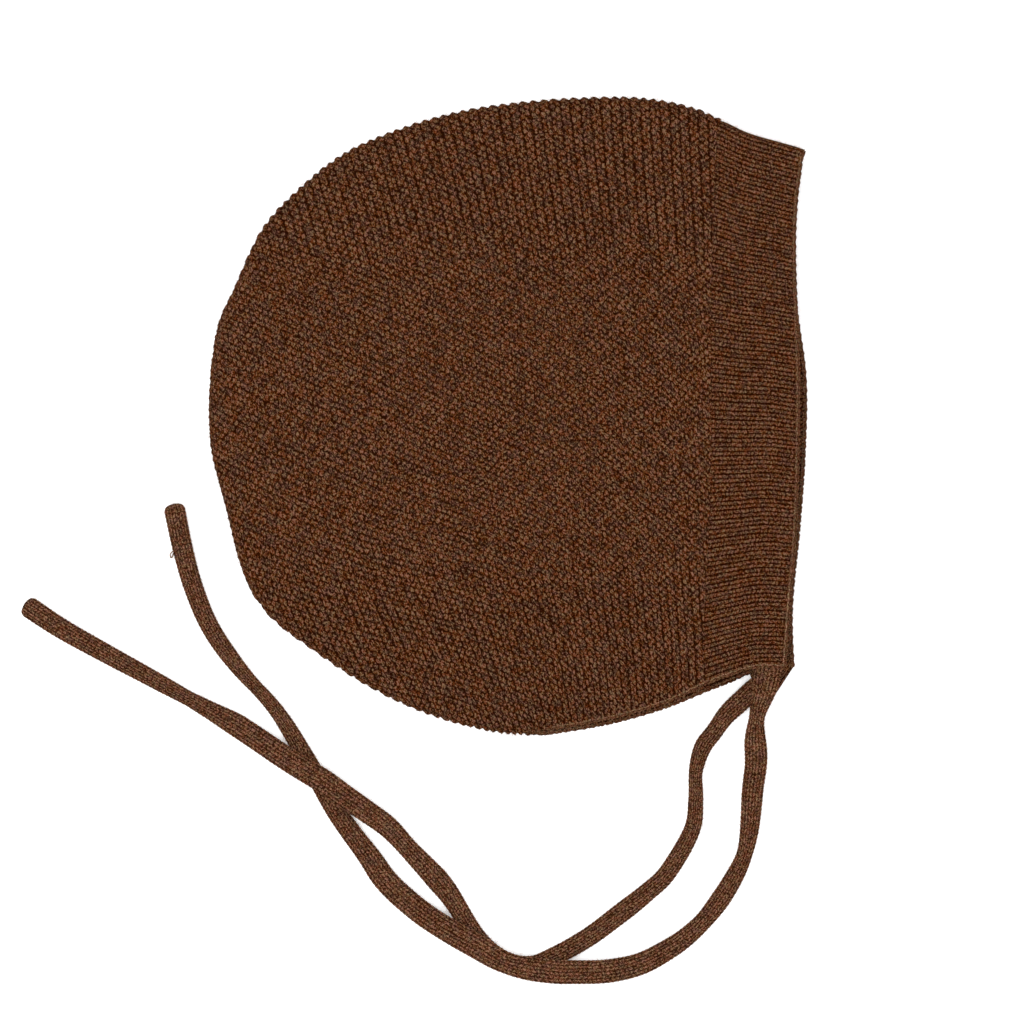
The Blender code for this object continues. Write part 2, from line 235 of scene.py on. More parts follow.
# Neck edge of the crown's upper layer, on from the foot of the seam to the end of the fold.
# Near its end it shows more of the lower layer than the solids do.
CROWN_NECK = table(
    Neck,
    (0.893, 0.056, 0.75), (0.803, 0.034, 0.70), (0.725, 0.021, 0.70), (0.670, 0.013, 0.85),
    (0.639, 0.010, 0.70),
)

# Neck edge of the band's upper layer, on from the foot of the seam to the front corner.
BAND_NECK = table(
    Neck,
    (0.107, 0.099, 0.95), (0.402, 0.110, 0.55), (0.733, 0.110, 0.25),
)

# The band from its fold, down 0, to the neck, down 1, in shares of BAND_WIDTH and LAYER_SLIP.
FRONT = table(
    Front,
    (0.00, 0.00, 0.00, 0.00), (0.08, -0.01, -0.045, 0.00), (0.17, -0.03, -0.055, 0.00),
    (0.29, -0.04, -0.016, 0.25), (0.43, -0.03, 0.038, 1.00), (0.58, -0.01, 0.061, 0.95),
    (0.73, -0.02, 0.064, 0.60), (0.87, -0.05, 0.027, 0.45), (0.95, -0.05, 0.010, 0.75),
    (1.00, 0.00, 0.00, 1.10),
)

# Courses of the crown. Short rows turn them outwards at the bottom.
COURSE_LEANS = table(
    Lean,
    (540, 140, 7), (610, 140, 0), (360, 200, 27), (420, 200, 20), (500, 200, 13), (600, 200, 4),
    (680, 200, 0), (290, 270, 13), (360, 290, 9), (480, 280, 9), (600, 300, 5), (690, 300, 2),
    (240, 380, 11), (360, 380, 10), (480, 400, 7), (600, 410, 3), (690, 420, 1), (240, 480, 15),
    (300, 500, 15), (380, 480, 13), (480, 490, 12), (600, 500, 0), (690, 520, 0),
    (240, 560, 20), (300, 570, 23), (360, 570, 28), (430, 570, 34), (520, 560, 16),
    (600, 570, -12), (690, 600, -3), (300, 630, 31), (370, 640, 36), (430, 650, 37),
    (480, 680, 32), (540, 650, 16), (600, 650, -9), (690, 660, -4),
)

# Centre lines of the ties, from the root at the band's corner to the free end. The free ends
# and four points of the lower tie lie off the solids' routes, by up to 1.9 mm.
UPPER_TIE_ROUTE = table(
    RoutePoint,
    (78.3, -70.4, 6.5), (78.2, -75.5, 6.5), (77.1, -82.1, 6.0), (75.2, -88.7, 4.3),
    (74.5, -95.6, 2.7), (74.8, -103.7, 1.5), (73.8, -112.1, 1.3), (72.8, -124.1, 1.3),
    (70.9, -132.7, 1.3), (66.3, -141.6, 1.3), (60.3, -150.0, 1.3), (54.3, -155.9, 1.3),
    (48.3, -160.1, 1.3), (39.9, -164.4, 1.7), (30.3, -166.4, 2.9), (20.7, -166.6, 4.0),
    (12.3, -166.3, 4.1), (0.3, -164.1, 4.1), (-8.7, -159.1, 4.1), (-17.7, -154.0, 3.8),
    (-26.7, -148.1, 2.4), (-35.8, -140.0, 1.4), (-41.5, -132.0, 1.3), (-47.3, -124.3, 1.3),
    (-52.5, -116.6, 1.3), (-61.0, -101.5, 1.3), (-69.5, -88.0, 1.3), (-80.1, -76.1, 1.3),
    (-88.6, -64.2, 1.3), (-93.9, -52.1, 1.3), (-97.3, -40.1, 1.3), (-100.2, -26.2, 1.3),
)
LOWER_TIE_ROUTE = table(
    RoutePoint,
    (81.3, -69.6, 3.8), (80.0, -74.4, 3.8), (77.0, -79.1, 3.6), (73.8, -82.0, 2.5),
    (70.8, -84.9, 1.7), (65.9, -89.6, 1.3), (62.2, -94.7, 1.3), (58.7, -99.5, 1.3),
    (56.7, -106.7, 1.3), (56.7, -115.1, 1.3), (55.5, -124.3, 1.3), (48.4, -136.7, 1.3),
    (42.3, -142.7, 1.3), (33.2, -149.9, 1.3), (24.4, -156.4, 1.3), (14.8, -161.8, 1.3),
    (6.6, -164.8, 1.3), (-1.9, -162.7, 1.3), (-9.4, -156.0, 1.3), (-18.1, -142.5, 1.3),
    (-29.6, -129.8, 1.4), (-35.5, -123.4, 2.4), (-41.6, -118.8, 3.7), (-48.5, -114.0, 4.1),
    (-54.5, -109.7, 4.2), (-62.1, -105.1, 4.1), (-67.5, -101.7, 3.8), (-73.5, -97.7, 2.7),
    (-78.6, -94.4, 1.6), (-84.0, -91.1, 1.3), (-107.3, -78.3, 1.3), (-122.4, -70.1, 1.3),
    (-134.1, -63.5, 1.3), (-145.0, -56.3, 1.3),
)

# Widths of the ties, narrow where they turn on edge.
UPPER_TIE_WAISTS = table(
    Waist,
    (0, 7.4), (6, 8.1), (10, 7.8), (14, 6.5), (18, 5.4), (21, 4.6), (24, 5.6), (29, 7.0),
    (46, 6.5), (54, 5.9), (62, 4.8), (70, 5.7), (78, 6.1), (86, 5.4), (102, 6.5), (118, 7.2),
    (142, 7.4), (150, 6.4), (158, 7.6), (198, 7.3), (208, 6.4), (222, 6.0), (246, 5.2),
    (254, 4.6), (264, 4.1), (278, 5.4), (302, 6.0), (325, 6.5),
)
LOWER_TIE_WAISTS = table(
    Waist,
    (0, 6.0), (22, 6.3), (30, 5.3), (38, 5.4), (47, 4.1), (54, 4.6), (70, 5.4), (86, 5.6),
    (94, 6.1), (126, 5.6), (158, 5.9), (168, 7.1), (182, 5.9), (190, 6.6), (214, 7.4),
    (246, 7.1), (254, 5.6), (262, 4.5), (270, 5.1), (286, 5.7), (316, 6.5),
)


def at_pixel(x: Array | float, y: Array | float) -> tuple[Array | float, Array | float]:
    """Plan position in metres of a pixel of the photograph.

    Args:
        x: Pixels from the left.
        y: Pixels from the top.

    Returns:
        The position's x and y.
    """
    return (x - PHOTO_ORIGIN[0]) * PIXEL, (PHOTO_ORIGIN[1] - y) * PIXEL


def curve_weights(share: Array) -> Array:
    """Weights of four neighbouring corners on a smooth curve between the middle two.

    Args:
        share: Shares of the way from the second corner to the third.

    Returns:
        One row of four weights for each share.
    """
    square = share * share
    cube = square * share
    leave = cube - 2 * square + share
    arrive = cube - square
    weights = [
        -leave / 2,
        2 * cube - 3 * square + 1 - arrive / 2,
        3 * square - 2 * cube + leave / 2,
        arrive / 2,
    ]
    return np.stack(weights, axis=-1)


def smooth_points(corners: Array, steps: int = PATH_STEPS) -> Array:
    """Points of the smooth curve through some corners.

    Args:
        corners: The corners, one a row.
        steps: Straight pieces between two corners.

    Returns:
        The points, one a row, with both end corners among them.
    """
    corners = np.asarray(corners, float)
    first = 2 * corners[0] - corners[1]
    last = 2 * corners[-1] - corners[-2]
    padded = np.vstack([first, corners, last])
    spans = len(corners) - 1
    windows = np.stack([padded[place : place + spans] for place in range(4)], axis=1)
    weights = curve_weights(np.arange(steps) / steps)
    points = np.einsum("sk,nkd->nsd", weights, windows).reshape(-1, corners.shape[1])
    return np.vstack([points, corners[-1]])


def unit(vectors: Array) -> Array:
    """The vectors, each made one long."""
    length = np.linalg.norm(vectors, axis=-1, keepdims=True)
    return vectors / np.maximum(length, TINY)


def ease(values: Array | float) -> Array:
    """A smooth step from 0 to 1, flat at both ends."""
    held = np.clip(values, 0.0, 1.0)
    return held * held * (3 - 2 * held)


def table_column(rows: tuple, column: str, at: Array) -> Array:
    """A column of a table with a down column, smoothly read between its rows.

    Args:
        rows: The table.
        column: The column to read.
        at: Values of the down column.

    Returns:
        The column's values there.
    """
    keys = np.array([row.down for row in rows])
    values = np.array([getattr(row, column) for row in rows])
    last = len(rows) - 1
    index = np.clip(np.searchsorted(keys[1:], at, side="left"), 0, last - 1)
    share = (at - keys[index]) / (keys[index + 1] - keys[index])
    places = [np.maximum(index - 1, 0), index, index + 1, np.minimum(index + 2, last)]
    return (curve_weights(share) * values[np.stack(places, axis=-1)]).sum(axis=-1)


@dataclass
class Line:
    """A line of points, read by the share of its length."""

    points: Array
    lengths: Array = field(init=False)

    def __post_init__(self) -> None:
        """Measure how far each point is from the start."""
        steps = np.linalg.norm(np.diff(self.points, axis=0), axis=1)
        self.lengths = np.concatenate([[0.0], np.cumsum(steps)])

    @classmethod
    def through(cls, corners: Array, steps: int = PATH_STEPS) -> Line:
        """The smooth line through some corners."""
        return cls(smooth_points(corners, steps))

    @property
    def length(self) -> float:
        """The whole length in metres."""
        return float(self.lengths[-1])

    def at(self, share: Array) -> Array:
        """Positions at shares of the length."""
        reach = np.clip(share, 0.0, 1.0) * self.length
        return np.stack([np.interp(reach, self.lengths, row) for row in self.points.T], axis=-1)

    def along(self, share: Array) -> Array:
        """Directions of the line at shares of its length.

        Args:
            share: The shares.

        Returns:
            A unit vector for each.
        """
        reach = np.clip(share, 0.0, 1.0) * self.length
        last = len(self.points) - 1
        index = np.clip(np.searchsorted(self.lengths[1:], reach, side="left"), 0, last - 1)
        span = self.lengths[index + 1] - self.lengths[index]
        within = ((reach - self.lengths[index]) / span)[..., None]
        leave = unit(self.points[index + 1] - self.points[np.maximum(index - 1, 0)])
        arrive = unit(self.points[np.minimum(index + 2, last)] - self.points[index])
        return unit(leave * (1 - within) + arrive * within)


@dataclass
class Nearest:
    """What lies nearest on a line of points, for each of some places in plan."""

    foot: Array
    inward: Array
    depth: Array
    piece: Array


def nearest(points: Array, places: Array) -> Nearest:
    """The nearest point of a line for each place.

    Args:
        points: The line's points in plan. Its left side is the inside.
        places: The places.

    Returns:
        The nearest point, the direction inwards there, the depth inside, which is negative
        outside, and the number of the straight piece.
    """
    start = points[:-1]
    side = np.diff(points, axis=0)
    square = np.maximum((side * side).sum(axis=1), TINY**2)
    feet = np.empty_like(places)
    pieces = np.empty(len(places), int)
    for low in range(0, len(places), CHUNK):
        some = places[low : low + CHUNK]
        away = some[:, None, :] - start[None]
        share = np.clip((away * side).sum(axis=2) / square, 0.0, 1.0)
        foot = start[None] + side[None] * share[..., None]
        gap = ((some[:, None, :] - foot) ** 2).sum(axis=2)
        best = gap.argmin(axis=1)
        row = np.arange(len(some))
        feet[low : low + CHUNK] = foot[row, best]
        pieces[low : low + CHUNK] = best
    out = places - feet
    gap = np.linalg.norm(out, axis=1)
    left = unit(np.stack([-side[pieces, 1], side[pieces, 0]], axis=1))
    inside = np.where((out * left).sum(axis=1) >= 0, 1.0, -1.0)
    straight = gap < NEAR_LINE
    inward = np.where(straight[:, None], left, unit(out) * inside[:, None])
    return Nearest(feet, inward, gap * inside, pieces)


def within_outline(outline: Array, places: Array) -> Array:
    """Which places lie inside a closed outline.

    Args:
        outline: Corners of the outline in plan.
        places: The places.

    Returns:
        True for each place that lies inside.
    """
    inside = np.zeros(len(places), bool)
    x, y = places.T
    for (ax, ay), (bx, by) in zip(outline, np.roll(outline, -1, axis=0)):
        if ay == by:
            continue
        crosses = (ay > y) != (by > y)
        inside ^= crosses & (x < ax + (y - ay) * (bx - ax) / (by - ay))
    return inside


def crown_place(depth: float, height: float) -> Array:
    """Plan position of shares of the crown's tables."""
    return np.array([depth * (DEPTH - BAND_WIDTH) - DEPTH / 2, (height - 0.5) * HEIGHT])


def band_place(depth: float, height: float) -> Array:
    """Plan position of shares of the band's tables."""
    return np.array([DEPTH / 2 - (1 - depth) * BAND_WIDTH, (height - 0.5) * HEIGHT])


@dataclass
class Shape:
    """The bonnet's outlines in plan, and the heights of its layers, close to the solids'."""

    front_steps: int = 24  # straight pieces of the upper front edge, for the layer's sag
    tongue_from: float = 0.58  # share of the band's neck edge where its tongue starts
    tongue_over: float = 0.26  # share over which it comes out
    tongue_end: float = 0.18  # share over which it goes back at the front corner

    def __post_init__(self) -> None:
        """Work out the folds and the open edges."""
        seam_top = crown_place(1.0, SEAM_TOP)
        seam_foot = crown_place(1.0, SEAM_FOOT) - (SEAM_LEAN, 0.0)
        band_fold = [seam_top] + [band_place(*row) for row in BAND_FOLD]
        crown_fold = [seam_top] + [crown_place(*row) for row in CROWN_FOLD]
        self.band_fold = Line.through(band_fold)
        self.crown_fold = Line.through(crown_fold)
        self.crown_neck = self.neck_lines(seam_foot, CROWN_NECK, crown_place)
        self.band_neck = self.neck_lines(seam_foot, BAND_NECK, band_place)
        self.add_tongue()
        front_end = band_fold[-1] + unit(band_fold[-1] - band_fold[-2]) * EDGE_REACH
        neck_end = crown_fold[-1] + unit(crown_fold[-1] - crown_fold[-2]) * DOME_REACH
        folds = [front_end, *self.band_fold.points[::-1], *self.crown_fold.points[1:], neck_end]
        self.fold_line = np.array(folds)
        upper_neck = self.crown_neck[Side.UPPER].points[::-1]
        self.neck_line = np.vstack([upper_neck, self.band_neck[Side.UPPER].points[1:]])
        downs = np.linspace(0.0, 1.0, self.front_steps + 1)
        self.front_line = self.band_point(np.ones_like(downs), downs, Side.UPPER)

    @staticmethod
    def neck_lines(
        seam_foot: Array, rows: tuple[Neck, ...], place: Callable[[float, float], Array]
    ) -> dict[Side, Line]:
        """The neck edges of the two layers.

        Args:
            seam_foot: The foot of the band's seam.
            rows: The neck table.
            place: The function that turns shares into a position.

        Returns:
            A line for each layer, the lower one slipped below the upper.
        """
        upper = [seam_foot] + [place(row.depth, row.height) for row in rows]
        slips = [1.0] + [row.slip for row in rows]
        lower = [spot - (0.0, slip * LAYER_SLIP) for spot, slip in zip(upper, slips)]
        return {Side.UPPER: Line.through(upper), Side.LOWER: Line.through(lower)}

    def add_tongue(self) -> None:
        """Let the lower layer's neck edge run on towards its tie, near the front corner."""
        line = self.band_neck[Side.LOWER]
        share = line.lengths / line.length
        out = ease((share - self.tongue_from) / self.tongue_over)
        tongue = np.minimum(out, (1 - share) / self.tongue_end)
        points = line.points - np.outer(tongue * TONGUE, (0.0, 1.0))
        self.band_neck[Side.LOWER] = Line(points)

    @staticmethod
    def seam_bow(down: Array) -> Array:
        """How far forward the band's seam bows."""
        return table_column(FRONT, "seam", down) * BAND_WIDTH

    @staticmethod
    def front_bow(down: Array, side: Side) -> Array:
        """How far forward the front edge bows."""
        slip = table_column(FRONT, "slip", down) * LAYER_SLIP * (side is Side.LOWER)
        return table_column(FRONT, "front", down) * BAND_WIDTH + slip

    @staticmethod
    def turn_place(fold: Line, share: Array, depth: Array) -> Array:
        """Places at a depth inside the outline, square to a fold.

        Args:
            fold: The fold.
            share: Shares of its length.
            depth: The depth at each share. Below nothing it lies outside.

        Returns:
            The places in plan.
        """
        spot = fold.at(share)
        along = fold.along(share)
        inward = np.stack([-along[..., 1], along[..., 0]], axis=-1)
        outwards = (inward * spot).sum(axis=-1, keepdims=True) > 0
        inward = np.where(outwards, -inward, inward)
        return spot + inward * np.asarray(depth)[..., None]

    def band_point(self, share: Array, down: Array, side: Side) -> Array:
        """Plan positions in the band.

        Args:
            share: 0 at the seam, 1 at the front edge.
            down: 0 at the fold's turn, 1 at the neck.
            side: The layer.

        Returns:
            The positions.
        """
        start = self.turn_place(self.band_fold, share, np.full_like(share, FOLD_RADIUS))
        bow = self.seam_bow(down) * (1 - share) + self.front_bow(down, side) * share
        end = self.band_neck[side].at(share)
        spots = start + (end - start) * down[..., None]
        spots[..., 0] += bow
        return spots

    def seam_points(self, down: Array, side: Side) -> Array:
        """Plan positions on the band's seam, from the end of the fold's turn to the neck."""
        return self.band_point(np.zeros_like(down), down, side)

    def roof(self, plan: Array, depth: Array) -> Array:
        """How far the upper layer rises above the folds.

        Args:
            plan: Places in plan.
            depth: Their depths inside the fold line.

        Returns:
            The rises.
        """
        rise = LOFT * (1 - (1 - np.clip(depth / DOME_REACH, 0.0, 1.0)) ** 2)
        front = np.abs(nearest(self.front_line, plan).depth) / EDGE_REACH
        neck = np.abs(nearest(self.neck_line, plan).depth) / EDGE_REACH
        sag = FRONT_SAG * np.exp(-front * front) + NECK_SAG * np.exp(-neck * neck)
        return rise - sag * rise / LOFT

    def lift(self, sheet: Array, side: Side) -> tuple[Array, Nearest]:
        """Positions of places that are given on a layer laid out flat.

        Args:
            sheet: Places on the flat layer. Past the fold's turn they lie outside the outline.
            side: The layer.

        Returns:
            The positions, and what lies nearest to each on the fold line.
        """
        near = nearest(self.fold_line, sheet)
        turned = np.clip(FOLD_RADIUS - near.depth, 0.0, QUARTER_TURN) / FOLD_RADIUS
        in_turn = near.depth < FOLD_RADIUS
        depth = np.where(in_turn, FOLD_RADIUS * (1 - np.sin(turned)), near.depth)
        plan = np.where(in_turn[:, None], near.foot + near.inward * depth[:, None], sheet)
        drop = np.where(in_turn, FOLD_RADIUS * (1 - np.cos(turned)), 0.0)
        if side is Side.LOWER:
            height = drop
        else:
            height = 2 * FOLD_RADIUS - drop + self.roof(plan, depth)
        return np.column_stack([plan, height]), near

    def lift_with_normals(self, sheet: Array, side: Side) -> tuple[Array, Array]:
        """Positions of places on a flat layer, and the outside's normals there.

        Args:
            sheet: Places on the flat layer.
            side: The layer.

        Returns:
            The positions and the normals, without the slope of the upper layer's rise.
        """
        spots, near = self.lift(sheet, side)
        turned = np.clip(FOLD_RADIUS - near.depth, 0.0, QUARTER_TURN) / FOLD_RADIUS
        upward = np.cos(turned) if side is Side.UPPER else -np.cos(turned)
        return spots, np.column_stack([-near.inward * np.sin(turned)[:, None], upward])

    def unroll(self, plan: Array) -> Array:
        """Lay places out on the flat layer, the other way round from lift.

        Args:
            plan: Places in plan.

        Returns:
            Their places on the flat layer.
        """
        near = nearest(self.fold_line, plan)
        drawn = np.clip(1 - near.depth / FOLD_RADIUS, 0.0, 1.0)
        flat = FOLD_RADIUS * (1 - np.arcsin(drawn))
        depth = np.where(near.depth < FOLD_RADIUS, flat, near.depth)
        return near.foot + near.inward * depth[:, None]


@dataclass
class Courses:
    """Where the crown's stitches lie on its flat layer.

    A stitch's place is two counts, so that each bump of the moss stitch has whole numbers. The
    first count grows along one diagonal of the stitches and the second along the other.
    """

    low: tuple[float, float] = (-0.101, -0.107)  # corner of the grids
    high: tuple[float, float] = (0.079, 0.108)  # and the one across from it
    coarse_step: float = 0.005
    fine_step: float = 0.001
    blend: float = 0.0135  # reach of each row of the table of leans
    far_weight: float = 1e-12  # of the nearest row where no row reaches
    last_cell: float = 1.001  # keeps a place inside the grid's last cell
    rounds: int = 6  # of the search for a stitch's place
    miss: float = 0.01  # counts by which a found place may be off

    def __post_init__(self) -> None:
        """Solve the counts from the leans of the courses."""
        coarse = [
            np.arange(low, high, self.coarse_step) for low, high in zip(self.low, self.high)
        ]
        columns, rows = len(coarse[0]), len(coarse[1])
        spots = np.stack(np.meshgrid(*coarse, indexing="ij"), axis=-1).reshape(-1, 2)
        number = np.arange(columns * rows).reshape(columns, rows)
        starts = np.concatenate([number[:-1].ravel(), number[:, :-1].ravel()])
        ends = np.concatenate([number[1:].ravel(), number[:, 1:].ravel()])
        step = spots[ends] - spots[starts]
        lean = self.lean((spots[ends] + spots[starts]) / 2)
        across = np.stack([np.cos(lean), np.sin(lean)], axis=1)
        upward = np.stack([-np.sin(lean), np.cos(lean)], axis=1)
        height = (spots[ends, 1] + spots[starts, 1]) / 2
        wider = 1 + TOP_STRETCH * ease((height - STRIPES_FROM) / STRIPES_OVER)
        course = (step * across).sum(axis=1) / COURSE_PITCH / wider
        wale = (step * upward).sum(axis=1) / WALE_PITCH
        rise = np.stack([course + wale, course - wale], axis=1)
        balance = np.zeros((len(spots), len(spots)))
        for one, other in ((starts, ends), (ends, starts)):
            np.add.at(balance, (one, one), 1.0)
            np.add.at(balance, (one, other), -1.0)
        balance[0, 0] += 1.0
        total = np.zeros((len(spots), 2))
        np.add.at(total, ends, rise)
        np.subtract.at(total, starts, rise)
        counts = np.linalg.solve(balance, total).reshape(columns, rows, 2)
        spread = [self.spreading(line) for line in coarse]
        self.fine = [np.arange(line[0], line[-1], self.fine_step) for line in coarse]
        self.counts = np.einsum("ai,bj,ijk->abk", *spread, counts)
        slopes = np.gradient(self.counts, self.fine_step, axis=(0, 1))
        self.slopes = np.stack(slopes, axis=-1)
        self.guess = self.rough_places()

    def lean(self, places: Array) -> Array:
        """How far the courses lean left of upright.

        Args:
            places: Places on the flat layer.

        Returns:
            The leans there, in radians.
        """
        rows = np.array(COURSE_LEANS, float)
        spots = np.stack(at_pixel(rows[:, 0], rows[:, 1]), axis=1)
        gap = ((places[:, None] - spots[None]) ** 2).sum(axis=2)
        weight = np.exp(-gap / (2 * self.blend**2)) + self.far_weight / (gap + TINY)
        return np.radians((weight * rows[:, 2]).sum(axis=1) / weight.sum(axis=1))

    def spreading(self, line: Array) -> Array:
        """Weights that spread values on the coarse grid smoothly over the fine one.

        Args:
            line: The coarse grid's places along one axis.

        Returns:
            A row for each fine place, with a weight for each coarse one.
        """
        fine = np.arange(line[0], line[-1], self.fine_step)
        reach = (fine - line[0]) / self.coarse_step
        index = np.minimum(reach.astype(int), len(line) - 2)
        weights = curve_weights(reach - index)
        spread = np.zeros((len(fine), len(line)))
        row = np.arange(len(fine))
        for place in range(4):
            column = np.clip(index + place - 1, 0, len(line) - 1)
            np.add.at(spread, (row, column), weights[:, place])
        return spread

    def read(self, values: Array, places: Array) -> Array:
        """Read values of the fine grid between its points.

        Args:
            values: A value for each point of the grid.
            places: Places on the flat layer.

        Returns:
            The values at the places.
        """
        corner, within = [], []
        for axis in range(2):
            reach = (places[:, axis] - self.fine[axis][0]) / self.fine_step
            reach = np.clip(reach, 0.0, len(self.fine[axis]) - self.last_cell)
            corner.append(reach.astype(int))
            within.append(reach - corner[axis])
        shape = (-1,) + (1,) * (values.ndim - 2)
        x, y = (share.reshape(shape) for share in within)
        i, j = corner
        low = values[i, j] * (1 - x) + values[i + 1, j] * x
        high = values[i, j + 1] * (1 - x) + values[i + 1, j + 1] * x
        return low * (1 - y) + high * y

    def stitch(self, places: Array) -> Array:
        """The counts of the stitches at some places."""
        return self.read(self.counts, places)

    def rough_places(self) -> Array:
        """Find a place for each pair of whole counts among the fine grid's points.

        Returns:
            The places, and no number where the grid doesn't reach.
        """
        spots = np.stack(np.meshgrid(*self.fine, indexing="ij"), axis=-1)
        whole = np.round(self.counts).astype(int)
        self.first = whole.min(axis=(0, 1))
        size = whole.max(axis=(0, 1)) - self.first + 1
        rough = np.full((*size, 2), np.nan)
        rough[whole[..., 0] - self.first[0], whole[..., 1] - self.first[1]] = spots
        return rough

    def places(self, stitches: Array) -> Array:
        """Find the places of stitches by Newton's method.

        Args:
            stitches: Counts of stitches.

        Returns:
            Places on the flat layer, and no number where the grid doesn't reach.
        """
        whole = np.round(stitches).astype(int) - self.first
        size = np.array(self.guess.shape[:2])
        known = ((whole >= 0) & (whole < size)).all(axis=1)
        whole = np.clip(whole, 0, size - 1)
        spots = self.guess[whole[:, 0], whole[:, 1]]
        spots[~known] = np.nan
        good = ~np.isnan(spots[:, 0])
        found = spots[good]
        for _ in range(self.rounds):
            miss = self.stitch(found) - stitches[good]
            slope = self.read(self.slopes, found)
            step = np.linalg.solve(slope, miss[..., None])[..., 0]
            found = found - np.clip(step, -self.coarse_step, self.coarse_step)
        miss = np.abs(self.stitch(found) - stitches[good]).max(axis=1)
        found[miss > self.miss] = np.nan
        spots[good] = found
        return spots


def corner_normals(corners: Array, faces: Array) -> Array:
    """The mean normal of the faces round each corner.

    Args:
        corners: Positions.
        faces: Four corner numbers a row.

    Returns:
        A unit normal for each corner.
    """
    a, b, c, d = (corners[faces[:, place]] for place in range(4))
    cross = np.cross(c - a, d - b)
    total = np.zeros_like(corners)
    for place in range(4):
        for axis in range(3):
            total[:, axis] += np.bincount(
                faces[:, place], weights=cross[:, axis], minlength=len(corners)
            )
    return unit(total)


def grid_faces(rows: int, columns: int, wrapped: bool = False) -> Array:
    """Faces between the corners of a grid.

    Args:
        rows: Rows of corners.
        columns: Corners in each row.
        wrapped: True where the last column joins the first.

    Returns:
        Four corner numbers a row.
    """
    number = np.arange(rows * columns).reshape(rows, columns)
    if wrapped:
        number = np.column_stack([number, number[:, 0]])
    a, b = number[:-1, :-1], number[:-1, 1:]
    c, d = number[1:, 1:], number[1:, :-1]
    return np.stack([a, b, c, d], axis=-1).reshape(-1, 4)


def make_piece(
    name: str, corners: Array, faces: list | Array, stitches: Array, material: bpy.types.Material
) -> bpy.types.Object:
    """A mesh object with the stitch counts as its UV map.

    Args:
        name: The piece's name.
        corners: Positions.
        faces: Corner numbers of each face.
        stitches: Two counts for each corner.
        material: Its finish.

    Returns:
        The object, linked to the scene.
    """
    mesh = bpy.data.meshes.new(name)
    faces = faces.tolist() if isinstance(faces, np.ndarray) else faces
    mesh.from_pydata(corners.tolist(), [], faces)
    layer = mesh.uv_layers.new(name=STITCH_MAP)
    loops = np.empty(len(mesh.loops), np.int32)
    mesh.loops.foreach_get("vertex_index", loops)
    layer.data.foreach_set("uv", stitches[loops].astype(np.float32).ravel())
    mesh.materials.append(material)
    mesh.shade_smooth()
    mesh.validate()
    piece = bpy.data.objects.new(name, mesh)
    bpy.context.collection.objects.link(piece)
    return piece


def fit_piece(piece: bpy.types.Object, node: str) -> bpy.types.Object:
    """Let a piece ride on the body and stand for a node, whose part is hidden.

    Args:
        piece: The piece.
        node: The node.

    Returns:
        The piece.
    """
    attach(piece, ROOT)
    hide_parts(node)
    log.info("%s: %d faces", piece.name, len(piece.data.polygons))
    return piece


@dataclass
class Layer:
    """One layer of a knitted piece, without its relief."""

    corners: Array
    normals: Array
    faces: Array
    stitches: Array  # two counts for each corner
    drawn_in: Array  # share of the pinch at each corner, 1 on an open edge
    sheet: Array | None = None  # the corners' places on the flat layer


def knit_piece(
    name: str,
    layers: list[Layer],
    rises: list[Array],
    material: bpy.types.Material,
    inside: bool = False,
) -> bpy.types.Object:
    """Join layers whose corners are moved along their normals.

    Args:
        name: The piece's name.
        layers: The layers.
        rises: How far out each layer's corners move.
        material: The piece's finish.
        inside: True where the faces look into the bonnet.

    Returns:
        The piece.
    """
    corners, faces = [], []
    count = 0
    for layer, rise in zip(layers, rises):
        corners.append(layer.corners + layer.normals * rise[:, None])
        faces.append((layer.faces[:, ::-1] if inside else layer.faces) + count)
        count += len(rise)
    stitches = np.vstack([layer.stitches for layer in layers])
    return make_piece(name, np.vstack(corners), np.vstack(faces), stitches, material)


def stand_out(relief: float, normals: Array) -> Array:
    """How far bumps stand out past the solids, which is nothing on the underside."""
    return relief * PROUD * np.clip(1 + normals[:, 2], 0.0, 1.0)


def plain_height(stitch: Array, column: Array, slant: float, gap: float) -> Array:
    """Height of plain knit, a row of V shaped stitches in each column.

    Args:
        stitch: Count of stitches along the column.
        column: Count of columns.
        slant: Stitches that a leg rises over a whole column.
        gap: Share of the height that lies between the columns.

    Returns:
        The heights, from -1 to 1.
    """
    within = column - np.round(column)
    legs = -np.cos(4 * np.pi * within)
    crest = np.cos(2 * np.pi * within)
    leg = np.cos(2 * np.pi * (stitch + slant * np.abs(within)))
    rest = 1 - gap
    # The stitches are boldest along the legs of the V.
    stitches = (1 - LEG_SHARE) * leg * (0.6 + 0.4 * legs)
    return rest * (LEG_SHARE * legs + stitches) + gap * crest


@dataclass
class Panel:
    """A knitted part of the bonnet in two layers, with its outside and its inside."""

    shape: Shape
    title: ClassVar[str]
    node: ClassVar[str]
    slot: ClassVar[str]

    def outside(self, side: Side, material: bpy.types.Material) -> bpy.types.Object:
        """Knit the outside of one layer.

        Args:
            side: The layer.
            material: Its finish.

        Returns:
            The piece.
        """
        layer = self.layer(side)
        piece = knit_piece(f"{self.title}_{side.value}", [layer], [self.rise(layer)], material)
        return fit_piece(piece, self.node)

    def inside(self, material: bpy.types.Material) -> bpy.types.Object:
        """Line both layers, one knitted wall in from the outside.

        Args:
            material: The lining's finish.

        Returns:
            The piece.
        """
        layers = [self.layer(side, inside=True) for side in Side]
        rises = [-self.wall(layer) for layer in layers]
        piece = knit_piece(f"{self.title}_inside", layers, rises, material, inside=True)
        return fit_piece(piece, self.node)


